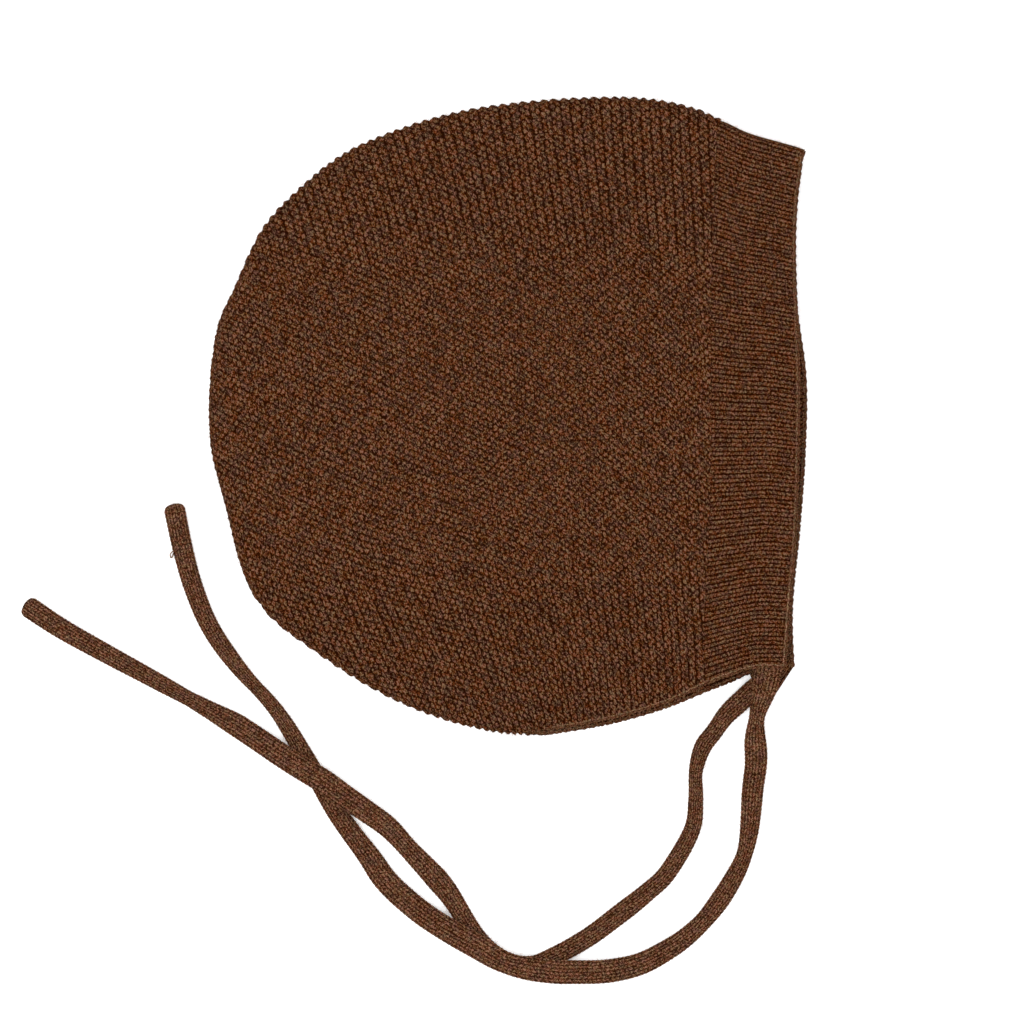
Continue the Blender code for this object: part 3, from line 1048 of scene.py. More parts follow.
@dataclass
class Crown(Panel):
    """The moss-stitch bag."""

    courses: Courses
    title: ClassVar[str] = "crown"
    node: ClassVar[str] = "crown"
    slot: ClassVar[str] = "crown"
    samples: int = 3  # corners for each count of stitches
    inside_samples: int = 1
    fold_corners: int = 700  # corners of a layer's outline, on each of its lines
    seam_corners: int = 120
    turn_corners: int = 8
    seam_points: int = 60
    pinch_reach: float = 0.0018  # width along an open edge where the wall thins
    pinch: float = 0.00020  # how much it thins
    flattening: float = 0.5  # share of the relief that an open edge takes away
    narrowness: float = 0.20  # share of the relief that makes the bumps narrow
    pairing: float = 0.06  # share of the relief that pairs the courses, in the middle
    more_pairing: float = 0.74  # and how much more near the top and the neck
    scallop: float = 0.00032  # how far pairs of courses stand out on the fold
    middle_scallop: float = 0.4  # share of it halfway down the back
    unevenness: float = 0.16  # of the bumps' heights
    straying: float = 0.00022  # of the stitches from their places

    def outline(self, side: Side) -> tuple[Array, int]:
        """The edge of a layer laid out flat.

        Args:
            side: The layer.

        Returns:
            The corners, and how many of them lie on the fold's middle line.
        """
        shares = np.linspace(0.0, 1.0, self.fold_corners)
        past = np.full_like(shares, FOLD_RADIUS - QUARTER_TURN)
        fold = self.shape.turn_place(self.shape.crown_fold, shares, past)
        neck = self.shape.unroll(self.shape.crown_neck[side].points[::-1])
        seam = self.shape.seam_points(np.linspace(1.0, 0.0, self.seam_corners), side)
        top = np.linspace(FOLD_RADIUS, FOLD_RADIUS - QUARTER_TURN, self.turn_corners)[1:]
        corner = self.shape.turn_place(self.shape.band_fold, np.zeros_like(top), top)
        return np.vstack([fold, neck, seam[1:], corner]), len(fold)

    def stray(self, stitches: Array) -> tuple[Array, Array]:
        """How the knitting strays from its pattern.

        Args:
            stitches: Counts of stitches.

        Returns:
            Shifts in plan, and a share of height for each corner.
        """
        random = np.random.default_rng(SEED)
        size = self.courses.guess.shape[:2]
        shifts = random.uniform(-1.0, 1.0, (*size, 2))
        heights = random.uniform(1 - self.unevenness, 1.0, size)
        reach = stitches - self.courses.first
        low = np.clip(np.floor(reach).astype(int), 0, np.array(size) - 2)
        x, y = ease(reach - low).T[..., None]
        i, j = low.T
        near = shifts[i, j] * (1 - x) * (1 - y) + shifts[i + 1, j] * x * (1 - y)
        far = shifts[i, j + 1] * (1 - x) * y + shifts[i + 1, j + 1] * x * y
        whole = np.clip(np.round(reach).astype(int), 0, np.array(size) - 1)
        return (near + far) * self.straying, heights[whole[:, 0], whole[:, 1]]

    def relief(self, stitches: Array, sheet: Array) -> Array:
        """Height of the moss stitch, from about -1 to 1.

        Args:
            stitches: Counts of stitches.
            sheet: Their places on the flat layer.

        Returns:
            The heights.
        """
        first, second = 2 * np.pi * stitches.T
        courses = first + second
        even = (1 - self.pairing - self.narrowness) / 2
        bumps = even * (np.cos(first) + np.cos(second)) + self.narrowness * np.cos(courses)
        pairing = self.pairing + self.more_pairing * self.striped(sheet)
        return bumps + pairing * np.sin(courses / 2)

    @staticmethod
    def striped(sheet: Array) -> Array:
        """Share of the way to full stripes at places on the flat layer."""
        return ease((np.abs(sheet[:, 1]) - STRIPES_FROM) / STRIPES_OVER)

    def layer(self, side: Side, inside: bool = False) -> Layer:
        """Lay out one layer of the crown.

        Args:
            side: The layer.
            inside: True for its inside, which is plainer.

        Returns:
            The layer.
        """
        samples = self.inside_samples if inside else self.samples
        outline, folded = self.outline(side)
        size = np.array(self.courses.guess.shape[:2])
        counts = [np.arange(0, (count - 1) * samples + 1) / samples for count in size]
        grid = np.stack(np.meshgrid(*counts, indexing="ij"), axis=-1) + self.courses.first
        rows, columns = grid.shape[:2]
        stitches = grid.reshape(-1, 2)
        sheet = self.courses.places(stitches)
        known = ~np.isnan(sheet[:, 0])
        shift, _ = self.stray(stitches)
        sheet = sheet + shift
        held = np.zeros(len(sheet), bool)
        held[known] = within_outline(outline, sheet[known])
        faces = grid_faces(rows, columns)
        faces = faces[known[faces].all(axis=1) & held[faces].any(axis=1)]
        used = np.unique(faces)
        number = np.zeros(len(sheet), int)
        number[used] = np.arange(len(used))
        faces, sheet = number[faces], sheet[used]
        stitches, held = stitches[used].copy(), held[used]
        edge = np.flatnonzero(~held)
        closed = np.vstack([outline, outline[:1]])
        snapped = nearest(closed, sheet[edge])
        sheet[edge] = snapped.foot
        shift, _ = self.stray(stitches[edge])
        stitches[edge] = self.courses.stitch(sheet[edge] - shift)
        corners, near = self.shape.lift(sheet, side)
        normals = corner_normals(corners, faces)
        upward = normals[:, 2].mean() > 0
        if upward != (side is Side.UPPER):
            faces = faces[:, ::-1]
            normals = -normals
        on_fold = edge[snapped.piece < folded - 1]
        normals[on_fold] = np.column_stack([-near.inward[on_fold], np.zeros(len(on_fold))])
        return Layer(corners, normals, faces, stitches, self.thinning(sheet, side), sheet)

    def thinning(self, sheet: Array, side: Side) -> Array:
        """Share of the pinch near the open edges.

        Args:
            sheet: Places on the flat layer.
            side: The layer.

        Returns:
            The shares, 1 on an edge.
        """
        neck = nearest(self.shape.unroll(self.shape.crown_neck[side].points), sheet)
        downs = np.linspace(0.0, 1.0, self.seam_points)
        seam = nearest(self.shape.seam_points(downs, side), sheet)
        gap = np.minimum(np.abs(neck.depth), np.abs(seam.depth))
        return 1 - ease(gap / self.pinch_reach)

    def rise(self, layer: Layer) -> Array:
        """How far the stitches stand out from the layer.

        Args:
            layer: The layer.

        Returns:
            The rise of each corner.
        """
        _, height = self.stray(layer.stitches)
        relief = height * (self.relief(layer.stitches, layer.sheet) - 1)
        bump = MOSS_RELIEF * relief * (1 - self.flattening * layer.drawn_in)
        rise = bump + stand_out(MOSS_RELIEF, layer.normals) - self.pinch * layer.drawn_in
        share = self.middle_scallop + (1 - self.middle_scallop) * self.striped(layer.sheet)
        rim = (1 - np.abs(layer.normals[:, 2])) ** 2 * share * (1 - layer.drawn_in)
        return rise + self.scallop * rim * np.sin(np.pi * layer.stitches.sum(axis=1))

    def wall(self, layer: Layer) -> Array:
        """How thick the knit is at each corner of a layer."""
        return KNIT_WALL - self.pinch * layer.drawn_in


@dataclass
class Band(Panel):
    """The ribbed band round the face opening."""

    title: ClassVar[str] = "band"
    node: ClassVar[str] = "front_band"
    slot: ClassVar[str] = "front_band"
    rib_samples: int = 8
    stitch_samples: int = 3
    gap: float = 0.42  # share of the relief that lies between the ribs
    inside_spacing: float = 0.0010
    seam_points: int = 50
    pinch_reach: float = 0.0020
    pinch: float = 0.00020
    unevenness: float = 0.10
    straying: float = 0.05  # of the stitches from their places, in stitches

    def layer(self, side: Side, inside: bool = False) -> Layer:
        """Lay out one layer of the band, from the fold's middle line to the neck.

        Args:
            side: The layer.
            inside: True for its inside, which is plainer.

        Returns:
            The layer.
        """
        spacing = self.inside_spacing if inside else RIB_STITCH / self.stitch_samples
        columns = round(BAND_WIDTH / spacing) + 1
        seam = self.shape.seam_points(np.linspace(0, 1, self.seam_points), side)
        long = Line(seam).length
        ribs = round(long / RIB_PITCH)
        turn_rows = round(QUARTER_TURN / RIB_PITCH * self.rib_samples)
        side_rows = ribs * self.rib_samples
        turned = np.linspace(math.pi / 2, 0.0, turn_rows + 1)[:-1]
        downs = np.linspace(0.0, 1.0, side_rows + 1)
        share = np.linspace(0.0, 1.0, columns)
        blocks, heights = [], []
        for angle in turned:
            depth = np.full(columns, FOLD_RADIUS * (1 - math.sin(angle)))
            blocks.append(self.shape.turn_place(self.shape.band_fold, share, depth))
            heights.append(np.full(columns, FOLD_RADIUS * (1 - math.cos(angle))))
        turn_plan = np.array(blocks)
        grid_share, grid_down = np.meshgrid(share, downs)
        side_plan = self.shape.band_point(grid_share, grid_down, side)
        plan = np.vstack([turn_plan, side_plan]).reshape(-1, 2)
        drop = np.concatenate([np.array(heights).ravel(), np.zeros(side_plan.size // 2)])
        depth = nearest(self.shape.fold_line, plan).depth
        if side is Side.LOWER:
            height = drop
        else:
            height = 2 * FOLD_RADIUS - drop + self.shape.roof(plan, np.maximum(depth, 0.0))
        corners = np.column_stack([plan, height])
        rows = len(turned) + len(downs)
        faces = grid_faces(rows, columns)
        if side is Side.LOWER:
            faces = faces[:, ::-1]
        normals = corner_normals(corners, faces)
        if (normals[-columns:, 2].mean() > 0) != (side is Side.UPPER):
            faces, normals = faces[:, ::-1], -normals
        middle = slice(0, columns)
        outward = self.shape.turn_place(self.shape.band_fold, share, np.full(columns, -1.0))
        outward = unit(outward - self.shape.band_fold.at(share))
        normals[middle] = np.column_stack([outward, np.zeros(columns)])
        rib = np.repeat(np.arange(rows) / self.rib_samples, columns)
        stitch = np.tile(share, rows) * BAND_WIDTH / RIB_STITCH
        to_front = (1 - np.tile(share, rows)) * BAND_WIDTH
        to_seam = np.tile(share, rows) * BAND_WIDTH
        to_neck = np.repeat((rows - 1 - np.arange(rows)) / self.rib_samples * RIB_PITCH, columns)
        edge = np.minimum(np.minimum(to_front, to_neck), to_seam)
        drawn_in = 1 - ease(edge / self.pinch_reach)
        stitches = np.stack([stitch, rib], axis=1)
        return Layer(corners, normals, faces, stitches, drawn_in)

    def rise(self, layer: Layer) -> Array:
        """How far the stitches stand out from the layer.

        Args:
            layer: The layer.

        Returns:
            The rise of each corner.
        """
        random = np.random.default_rng(SEED + 1)
        row, column = np.round(layer.stitches).astype(int).T
        uneven = random.uniform(1 - self.unevenness, 1.0, (row.max() + 1, column.max() + 1))
        shift = random.uniform(-self.straying, self.straying, uneven.shape)
        count, rib = layer.stitches.T
        bump = plain_height(count + shift[row, column], rib, RIB_SLANT, self.gap) - 1
        rise = RIB_RELIEF * uneven[row, column] * bump
        return rise + stand_out(RIB_RELIEF, layer.normals) - self.pinch * layer.drawn_in

    def wall(self, layer: Layer) -> Array:
        """How thick the ribbed knit is at each corner of a layer."""
        relief = RIB_RELIEF * plain_height(*layer.stitches.T, RIB_SLANT, self.gap)
        return KNIT_WALL - self.pinch * layer.drawn_in + relief


def oval(sides: int, flatness: float, squareness: float) -> Array:
    """Corners of a flattened round section, one wide and one high, evenly spaced.

    Args:
        sides: How many corners.
        flatness: How many times as wide as high the section will be.
        squareness: 2 is an ellipse, and more is squarer.

    Returns:
        Positions across and up, from -0.5 to 0.5.
    """
    angle = np.linspace(0.0, 2 * np.pi, OVAL_STEPS + 1)
    across = np.sign(np.cos(angle)) * np.abs(np.cos(angle)) ** (2 / squareness) / 2
    upward = np.sign(np.sin(angle)) * np.abs(np.sin(angle)) ** (2 / squareness) / 2
    step = np.hypot(np.diff(across) * flatness, np.diff(upward))
    reach = np.concatenate([[0.0], np.cumsum(step)])
    at = np.arange(sides) / sides * reach[-1]
    return np.stack([np.interp(at, reach, across), np.interp(at, reach, upward)], axis=1)


def transported(along: Array) -> Array:
    """Sides of a line that turn as little as they can, square to it.

    Args:
        along: The line's directions.

    Returns:
        One unit vector for each direction.
    """
    side = unit(np.array([-along[0, 1], along[0, 0], 0.0]))
    sides = [side]
    for ahead in along[1:]:
        side = unit(side - ahead * (side @ ahead))
        sides.append(side)
    return np.array(sides)


@dataclass
class Tube:
    """A knitted tube along a line, flat or round."""

    line: Line
    widths: Array
    heights: Array
    columns: int
    samples: int
    shares: Array | None = None  # where its rings stand, in shares of the line
    level: bool = True  # its section stays level
    squareness: float = 2.6
    gap: float = 0.12  # share of the relief that lies between the columns
    slimness: float = 1.3  # where the tube is narrower than this share, its relief sinks

    def build(self, relief: float, stitch: float, slant: float) -> tuple[Array, list, Array, Array]:
        """The tube's mesh.

        Args:
            relief: Half the height of a stitch.
            stitch: Length of one stitch.
            slant: Stitches that a leg rises over a whole column.

        Returns:
            Positions, faces, stitch counts and the centres of the rings.
        """
        rings = len(self.widths)
        share = np.linspace(0.0, 1.0, rings) if self.shares is None else self.shares
        centre = self.line.at(share)
        along = self.line.along(share)
        if self.level:
            left = unit(np.stack([-along[:, 1], along[:, 0], np.zeros(rings)], axis=1))
        else:
            left = transported(along)
        up = np.cross(along, left)
        around = self.columns * self.samples
        section = oval(around, self.widths.max() / self.heights.max(), self.squareness)
        corners = (
            centre[:, None]
            + left[:, None] * (section[:, 0] * self.widths[:, None])[..., None]
            + up[:, None] * (section[:, 1] * self.heights[:, None])[..., None]
        ).reshape(-1, 3)
        faces = grid_faces(rings, around, wrapped=True)
        normals = corner_normals(corners, faces)
        outward = corners - np.repeat(centre, around, axis=0)
        if (normals * outward).sum(axis=1).mean() < 0:
            faces, normals = faces[:, ::-1], -normals
        count = np.repeat(share * self.line.length / stitch, around)
        column = np.tile(np.arange(around) / self.samples, rings)
        bump = relief * (plain_height(count, column, slant, self.gap) - 1)
        share = self.widths / self.widths.max() * self.slimness
        size = np.minimum(1.0, np.repeat(share, around))
        bump = (bump + stand_out(relief, normals)) * size
        corners = corners + normals * bump[:, None]
        corners, faces = self.close(corners, faces, centre, around)
        counts = np.stack([count, column], axis=1)
        counts = np.vstack([counts, counts[:1], counts[-1:]])
        return corners, faces, counts, centre

    @staticmethod
    def close(corners: Array, faces: Array, centre: Array, around: int) -> tuple[Array, list]:
        """Close both ends of a tube with triangles to the middle of its end rings.

        Args:
            corners: The tube's corners, ring by ring.
            faces: Its faces.
            centre: The rings' centres.
            around: Corners of a ring.

        Returns:
            The corners with the two middles, and the faces with the triangles.
        """
        total = len(corners)
        corners = np.vstack([corners, centre[:1], centre[-1:]])
        first = np.arange(around)
        last = first + total - around
        flip = faces[0, 1] == 1
        caps = []
        for ring, tip, turned in ((first, total, flip), (last, total + 1, not flip)):
            after = np.roll(ring, -1)
            pair = (after, ring) if turned else (ring, after)
            caps += np.stack([*pair, np.full(around, tip)], axis=1).tolist()
        return corners, faces.tolist() + caps


@dataclass
class Tie:
    """A flat knitted tie, lying on the surface."""

    name: str
    route: tuple
    waists: tuple
    slot: str = "ties"
    spacing: float = 0.00036
    end_reach: float = 0.0021  # length over which the free end rounds off
    end_rings: int = 12
    end_width: float = 0.02  # share of the width that the last ring keeps
    end_bluntness: float = 0.8
    smoothing: int = 4  # rings on each side over which the width is evened out
    thickening: float = 0.35  # how much thicker the tie is where it is narrow
    thinnest: float = -0.3  # bounds of how much narrower than TIE_WIDTH counts for it
    thickest: float = 0.4
    samples: int = 6

    def build(self, material: bpy.types.Material) -> bpy.types.Object:
        """Args:
            material: Its finish.

        Returns:
            The tie.
        """
        line = Line.through(np.array(self.route) * MILLIMETRE)
        straight = line.length - self.end_reach
        rings = round(straight / self.spacing)
        turned = np.linspace(0.0, math.pi / 2, self.end_rings + 1)[1:]
        ends = straight + self.end_reach * np.sin(turned)
        reach = np.concatenate([np.linspace(0.0, straight, rings), ends])
        rows = np.array(self.waists) * MILLIMETRE
        widths = np.interp(reach, rows[:, 0], rows[:, 1])
        window = 2 * self.smoothing + 1
        widths = np.pad(widths, self.smoothing, mode="edge")
        widths = np.convolve(widths, np.full(window, 1 / window), "valid")
        rounding = np.maximum(np.cos(turned), self.end_width) ** self.end_bluntness
        rounded = np.concatenate([np.ones(rings), rounding])
        narrower = np.clip(1 - widths / TIE_WIDTH, self.thinnest, self.thickest)
        heights = TIE_THICKNESS * (1 + self.thickening * narrower)
        heights = heights * np.sqrt(rounded)
        shares = reach / line.length
        tube = Tube(line, widths * rounded, heights, TIE_COLUMNS, self.samples, shares)
        corners, faces, counts, centre = tube.build(TIE_RELIEF, TIE_STITCH, TIE_SLANT)
        piece = make_piece(f"{self.name}_knit", corners, faces, counts, material)
        fit_piece(piece, self.name)
        return piece


@dataclass
class Edges:
    """The chains of stitches that finish the open edges of both layers."""

    shape: Shape
    spacing: float = 0.00030
    stitch: float = 0.00140
    neck_scallop: float = 0.00260
    front_scallop: float = 0.00276
    scallops: float = 0.32  # how much narrower the chain is between two scallops
    columns: int = 4
    samples: int = 4
    front_steps: int = 90  # places along one layer's front edge
    turn_steps: int = 5  # and round its turn
    corner_spacing: float = 0.0016  # between the corners of a chain's line
    corner_steps: int = 5
    pointed: float = 0.5  # width of the chain's first and last ring
    thread: float = 0.00016  # radius of the pale yarn that runs along an edge
    thread_rise: float = 0.86  # its height over the middle of the chain, in EDGE_RADIUS
    thread_waver: float = 0.00012
    thread_relief: float = 0.2  # in radii
    neck_thick: float = 0.09  # length over which the neck's yarn is thick
    front_thick: float = 0.02
    thinner: float = 0.45  # share by which it is thinner after that
    thinner_over: float = 0.010

    def finish(
        self,
        name: str,
        outside: Array,
        outward: Array,
        scallop: float,
        reach: float,
        materials: tuple[bpy.types.Material, bpy.types.Material],
        node: str,
    ) -> bpy.types.Object:
        """A chain of stitches along an edge, with a pale yarn on top.

        Args:
            name: The piece's name.
            outside: Places of the edge on the outside of the knit.
            outward: The outside's normals there.
            scallop: Length of one scallop.
            reach: How far from the start the yarn is thick.
            materials: The finishes of the chain and of the yarn.
            node: The node that they stand for.

        Returns:
            The chain.
        """
        line = self.middle_line(outside - outward * KNIT_WALL / 2)
        rings = round(line.length / self.spacing)
        phase = np.pi * np.linspace(0.0, line.length, rings) / scallop
        size = 2 * EDGE_RADIUS * (1 - self.scallops * (1 - np.abs(np.sin(phase))) ** 2)
        size[[0, -1]] *= self.pointed
        tube = Tube(
            line, size, size, self.columns, self.samples, level=False, squareness=ELLIPSE
        )
        mesh = tube.build(EDGE_RELIEF, self.stitch, CHAIN_SLANT)
        chain = make_piece(name, *mesh[:3], materials[0])
        above = Line(line.points + (0.0, 0.0, self.thread_rise * EDGE_RADIUS))
        slim = self.thinner * ease((above.lengths - reach) / self.thinner_over)
        thin = 2 * self.thread * (1 - slim)
        waver = self.thread_waver * np.sin(2 * np.pi * above.lengths / scallop)
        ahead = unit(np.gradient(above.points, axis=0))
        above.points[:, 0] += waver * ahead[:, 1]
        above.points[:, 1] -= waver * ahead[:, 0]
        yarn = Tube(above, thin, thin, columns=2, samples=4, level=False, squareness=ELLIPSE)
        mesh = yarn.build(self.thread * self.thread_relief, self.stitch, YARN_SLANT)
        fit_piece(make_piece(f"{name}_yarn", *mesh[:3], materials[1]), node)
        return fit_piece(chain, node)

    def middle_line(self, middle: Array) -> Line:
        """The line that a chain of stitches follows.

        Args:
            middle: Places of the edge, halfway through the knit.

        Returns:
            A smooth line, EDGE_INSET inside the edge.
        """
        along = np.gradient(middle, axis=0)
        along[:, 2] = 0.0
        square = np.stack([along[:, 1], -along[:, 0], np.zeros(len(along))], axis=1)
        inward = (square * -middle).sum(axis=1, keepdims=True)
        flat = np.linalg.norm(along, axis=1, keepdims=True)
        square = square / np.maximum(flat, TINY) * np.sign(inward)
        # Where the line runs up or down, it isn't moved inwards.
        level = ease(flat / np.median(flat) * 2 - 0.2)
        middle = middle + square * EDGE_INSET * level
        rough = Line(middle)
        count = round(rough.length / self.corner_spacing)
        return Line.through(rough.at(np.linspace(0.0, 1.0, count)), self.corner_steps)

    def neck(self, *materials: bpy.types.Material) -> bpy.types.Object:
        """The neck edge, from the upper front corner round the end of the fold and back.

        Args:
            materials: The finishes of the chain and of the yarn.

        Returns:
            The chain.
        """
        places, normals = [], []
        fold_end = self.shape.turn_place(
            self.shape.crown_fold, np.ones(1), np.full(1, FOLD_RADIUS - QUARTER_TURN)
        )
        for side in (Side.UPPER, Side.LOWER):
            band = self.shape.band_neck[side].points
            crown = self.shape.crown_neck[side].points
            sheet = self.shape.unroll(np.vstack([band[::-1], crown[1:]]))
            sheet = np.vstack([sheet, (sheet[-1:] + fold_end) / 2])
            spots, outward = self.shape.lift_with_normals(sheet, side)
            if side is Side.UPPER:
                middle = self.shape.lift_with_normals(fold_end, side)
                places += [spots, middle[0]]
                normals += [outward, middle[1]]
            else:
                places.append(spots[::-1])
                normals.append(outward[::-1])
        route = (np.vstack(places), np.vstack(normals))
        scallop, thick = self.neck_scallop, self.neck_thick
        return self.finish("neck_edge", *route, scallop, thick, materials, "crown")

    def front(self, *materials: bpy.types.Material) -> bpy.types.Object:
        """The front edge, from the upper layer's corner round the fold to the lower one's.

        Args:
            materials: The finishes of the chain and of the yarn.

        Returns:
            The chain.
        """
        downs = np.linspace(0.0, 1.0, self.front_steps)
        turns = np.linspace(0.0, math.pi / 2, self.turn_steps + 1)[1:]
        places, normals = [], []
        for side in (Side.UPPER, Side.LOWER):
            plan = self.shape.band_point(np.ones_like(downs), downs, side)
            spots, outward = self.shape.lift_with_normals(plan, side)
            depth = FOLD_RADIUS * (1 - np.sin(turns))
            turned = self.shape.turn_place(self.shape.band_fold, np.ones_like(turns), depth)
            drop = FOLD_RADIUS * (1 - np.cos(turns))
            away = unit(
                self.shape.turn_place(self.shape.band_fold, np.ones(1), np.full(1, -1.0))
                - self.shape.band_fold.at(np.ones(1))
            )
            upward = 1.0 if side is Side.UPPER else -1.0
            heights = FOLD_RADIUS + upward * (FOLD_RADIUS - drop)
            turn_spots = np.column_stack([turned, heights])
            sideways = away * np.sin(turns)[:, None]
            turn_normals = np.column_stack([sideways, upward * np.cos(turns)])
            spots = np.vstack([spots[::-1], turn_spots])
            outward = np.vstack([outward[::-1], turn_normals])
            if side is Side.LOWER:
                spots, outward = spots[-2::-1], outward[-2::-1]
            places.append(spots)
            normals.append(outward)
        route = (np.vstack(places), np.vstack(normals))
        scallop, thick = self.front_scallop, self.front_thick
        return self.finish("front_edge", *route, scallop, thick, materials, "front_band")


@dataclass
class Loop:
    """A loose loop of yarn that has slipped out of a tie."""

    tie: str = "upper_tie"
    slot: str = "ties"
    radius: float = 0.00020
    relief: float = 1 / 6  # in radii
    rings: int = 40
    # pixels of the photograph, and the height in millimetres
    route: tuple[RoutePoint, ...] = table(
        RoutePoint,
        (174.6, 551.2, 1.1), (171.8, 551.8, 1.0), (169.5, 554.6, 0.7), (170.4, 558.0, 0.5),
        (172.0, 556.0, 0.6), (172.8, 553.4, 0.9), (174.9, 552.6, 1.0),
    )

    def build(self, material: bpy.types.Material) -> bpy.types.Object:
        """Model the loop.

        Args:
            material: Its finish.

        Returns:
            The loop.
        """
        rows = np.array(self.route)
        x, y = at_pixel(rows[:, 0], rows[:, 1])
        line = Line.through(np.column_stack([x, y, rows[:, 2] * MILLIMETRE]))
        size = np.full(self.rings, 2 * self.radius)
        tube = Tube(line, size, size, columns=2, samples=4, level=False, squareness=ELLIPSE)
        mesh = tube.build(self.radius * self.relief, TIE_STITCH, YARN_SLANT)
        piece = make_piece(f"{self.tie}_loop", *mesh[:3], material)
        return fit_piece(piece, self.tie)


@dataclass
class Fuzz:
    """Loose fibres of wool that stand out from a knitted piece."""

    count: int
    radius: float = 0.000026
    length: float = 0.0013
    joints: int = 2  # straight pieces of a fibre
    sides: int = 3
    rim: float = 14.0  # how many times as many stand on a rim as elsewhere
    rim_from: float = 0.75  # upright share of a normal below which the rim starts
    rim_over: float = 0.60
    swing: float = 0.75  # how far a fibre leans from the normal
    bend: float = 0.4
    lengths: tuple[float, float] = (0.2, 1.8)  # bounds of a fibre's length, in lengths
    evenness: float = 3.0  # of the fibres' lengths
    taper: float = 0.6
    root: float = 0.0001  # how deep a fibre starts in the knit
    floor: float = 0.0002  # lowest height of a fibre

    def roots(self, piece: bpy.types.Object, random: np.random.Generator) -> tuple[Array, Array]:
        """Choose where the fibres stand.

        Args:
            piece: The knitted piece.
            random: The source of chance.

        Returns:
            The places, and the surface's normals there.
        """
        mesh = piece.data
        spots = np.empty(len(mesh.vertices) * 3)
        mesh.vertices.foreach_get("co", spots)
        normals = np.empty_like(spots)
        mesh.vertex_normals.foreach_get("vector", normals)
        spots, normals = spots.reshape(-1, 3), normals.reshape(-1, 3)
        near_rim = (self.rim_from - np.abs(normals[:, 2])) / self.rim_over
        weight = 1 + self.rim * ease(near_rim)
        weight[spots[:, 2] < self.floor] = 0.0
        chosen = random.choice(len(spots), self.count, p=weight / weight.sum())
        return spots[chosen], normals[chosen]

    def build(
        self, piece: bpy.types.Object, node: str, slot: str, material: bpy.types.Material
    ) -> None:
        """Grow the fibres on a piece.

        Args:
            piece: The knitted piece.
            node: The node that it stands for.
            slot: Not used.
            material: The fibres' finish.
        """
        random = np.random.default_rng(SEED + len(piece.name))
        root, normal = self.roots(piece, random)
        swing = random.normal(size=(2, self.count, 3))
        ahead = unit(normal + self.swing * swing[0])
        bend = swing[1] * self.bend
        length = random.gamma(self.evenness, 1 / self.evenness, (self.count, 1))
        length = self.length * length.clip(*self.lengths)
        steps = np.linspace(0.0, 1.0, self.joints + 1)
        side = unit(np.cross(ahead, random.normal(size=(self.count, 3))))
        other = np.cross(ahead, side)
        angle = 2 * np.pi * np.arange(self.sides) / self.sides
        around = (
            side[:, None] * np.cos(angle)[:, None] + other[:, None] * np.sin(angle)[:, None]
        )
        rings = []
        for step in steps:
            centre = root + (ahead * step + bend * step * step) * length - normal * self.root
            centre[:, 2] = np.maximum(centre[:, 2], self.floor)
            rings.append(centre[:, None] + around * self.radius * (1 - self.taper * step))
        corners = np.stack(rings, axis=1).reshape(-1, 3)
        each = self.sides * (self.joints + 1)
        quads = grid_faces(self.joints + 1, self.sides, wrapped=True)
        tips = [list(range(self.sides))[::-1], list(range(each - self.sides, each))]
        faces = []
        for start in range(0, self.count * each, each):
            faces += (quads + start).tolist()
            faces += [[corner + start for corner in tip] for tip in tips]
        name = f"{piece.name}_fuzz"
        fibres = make_piece(name, corners, faces, np.zeros((len(corners), 2)), material)
        fit_piece(fibres, node)


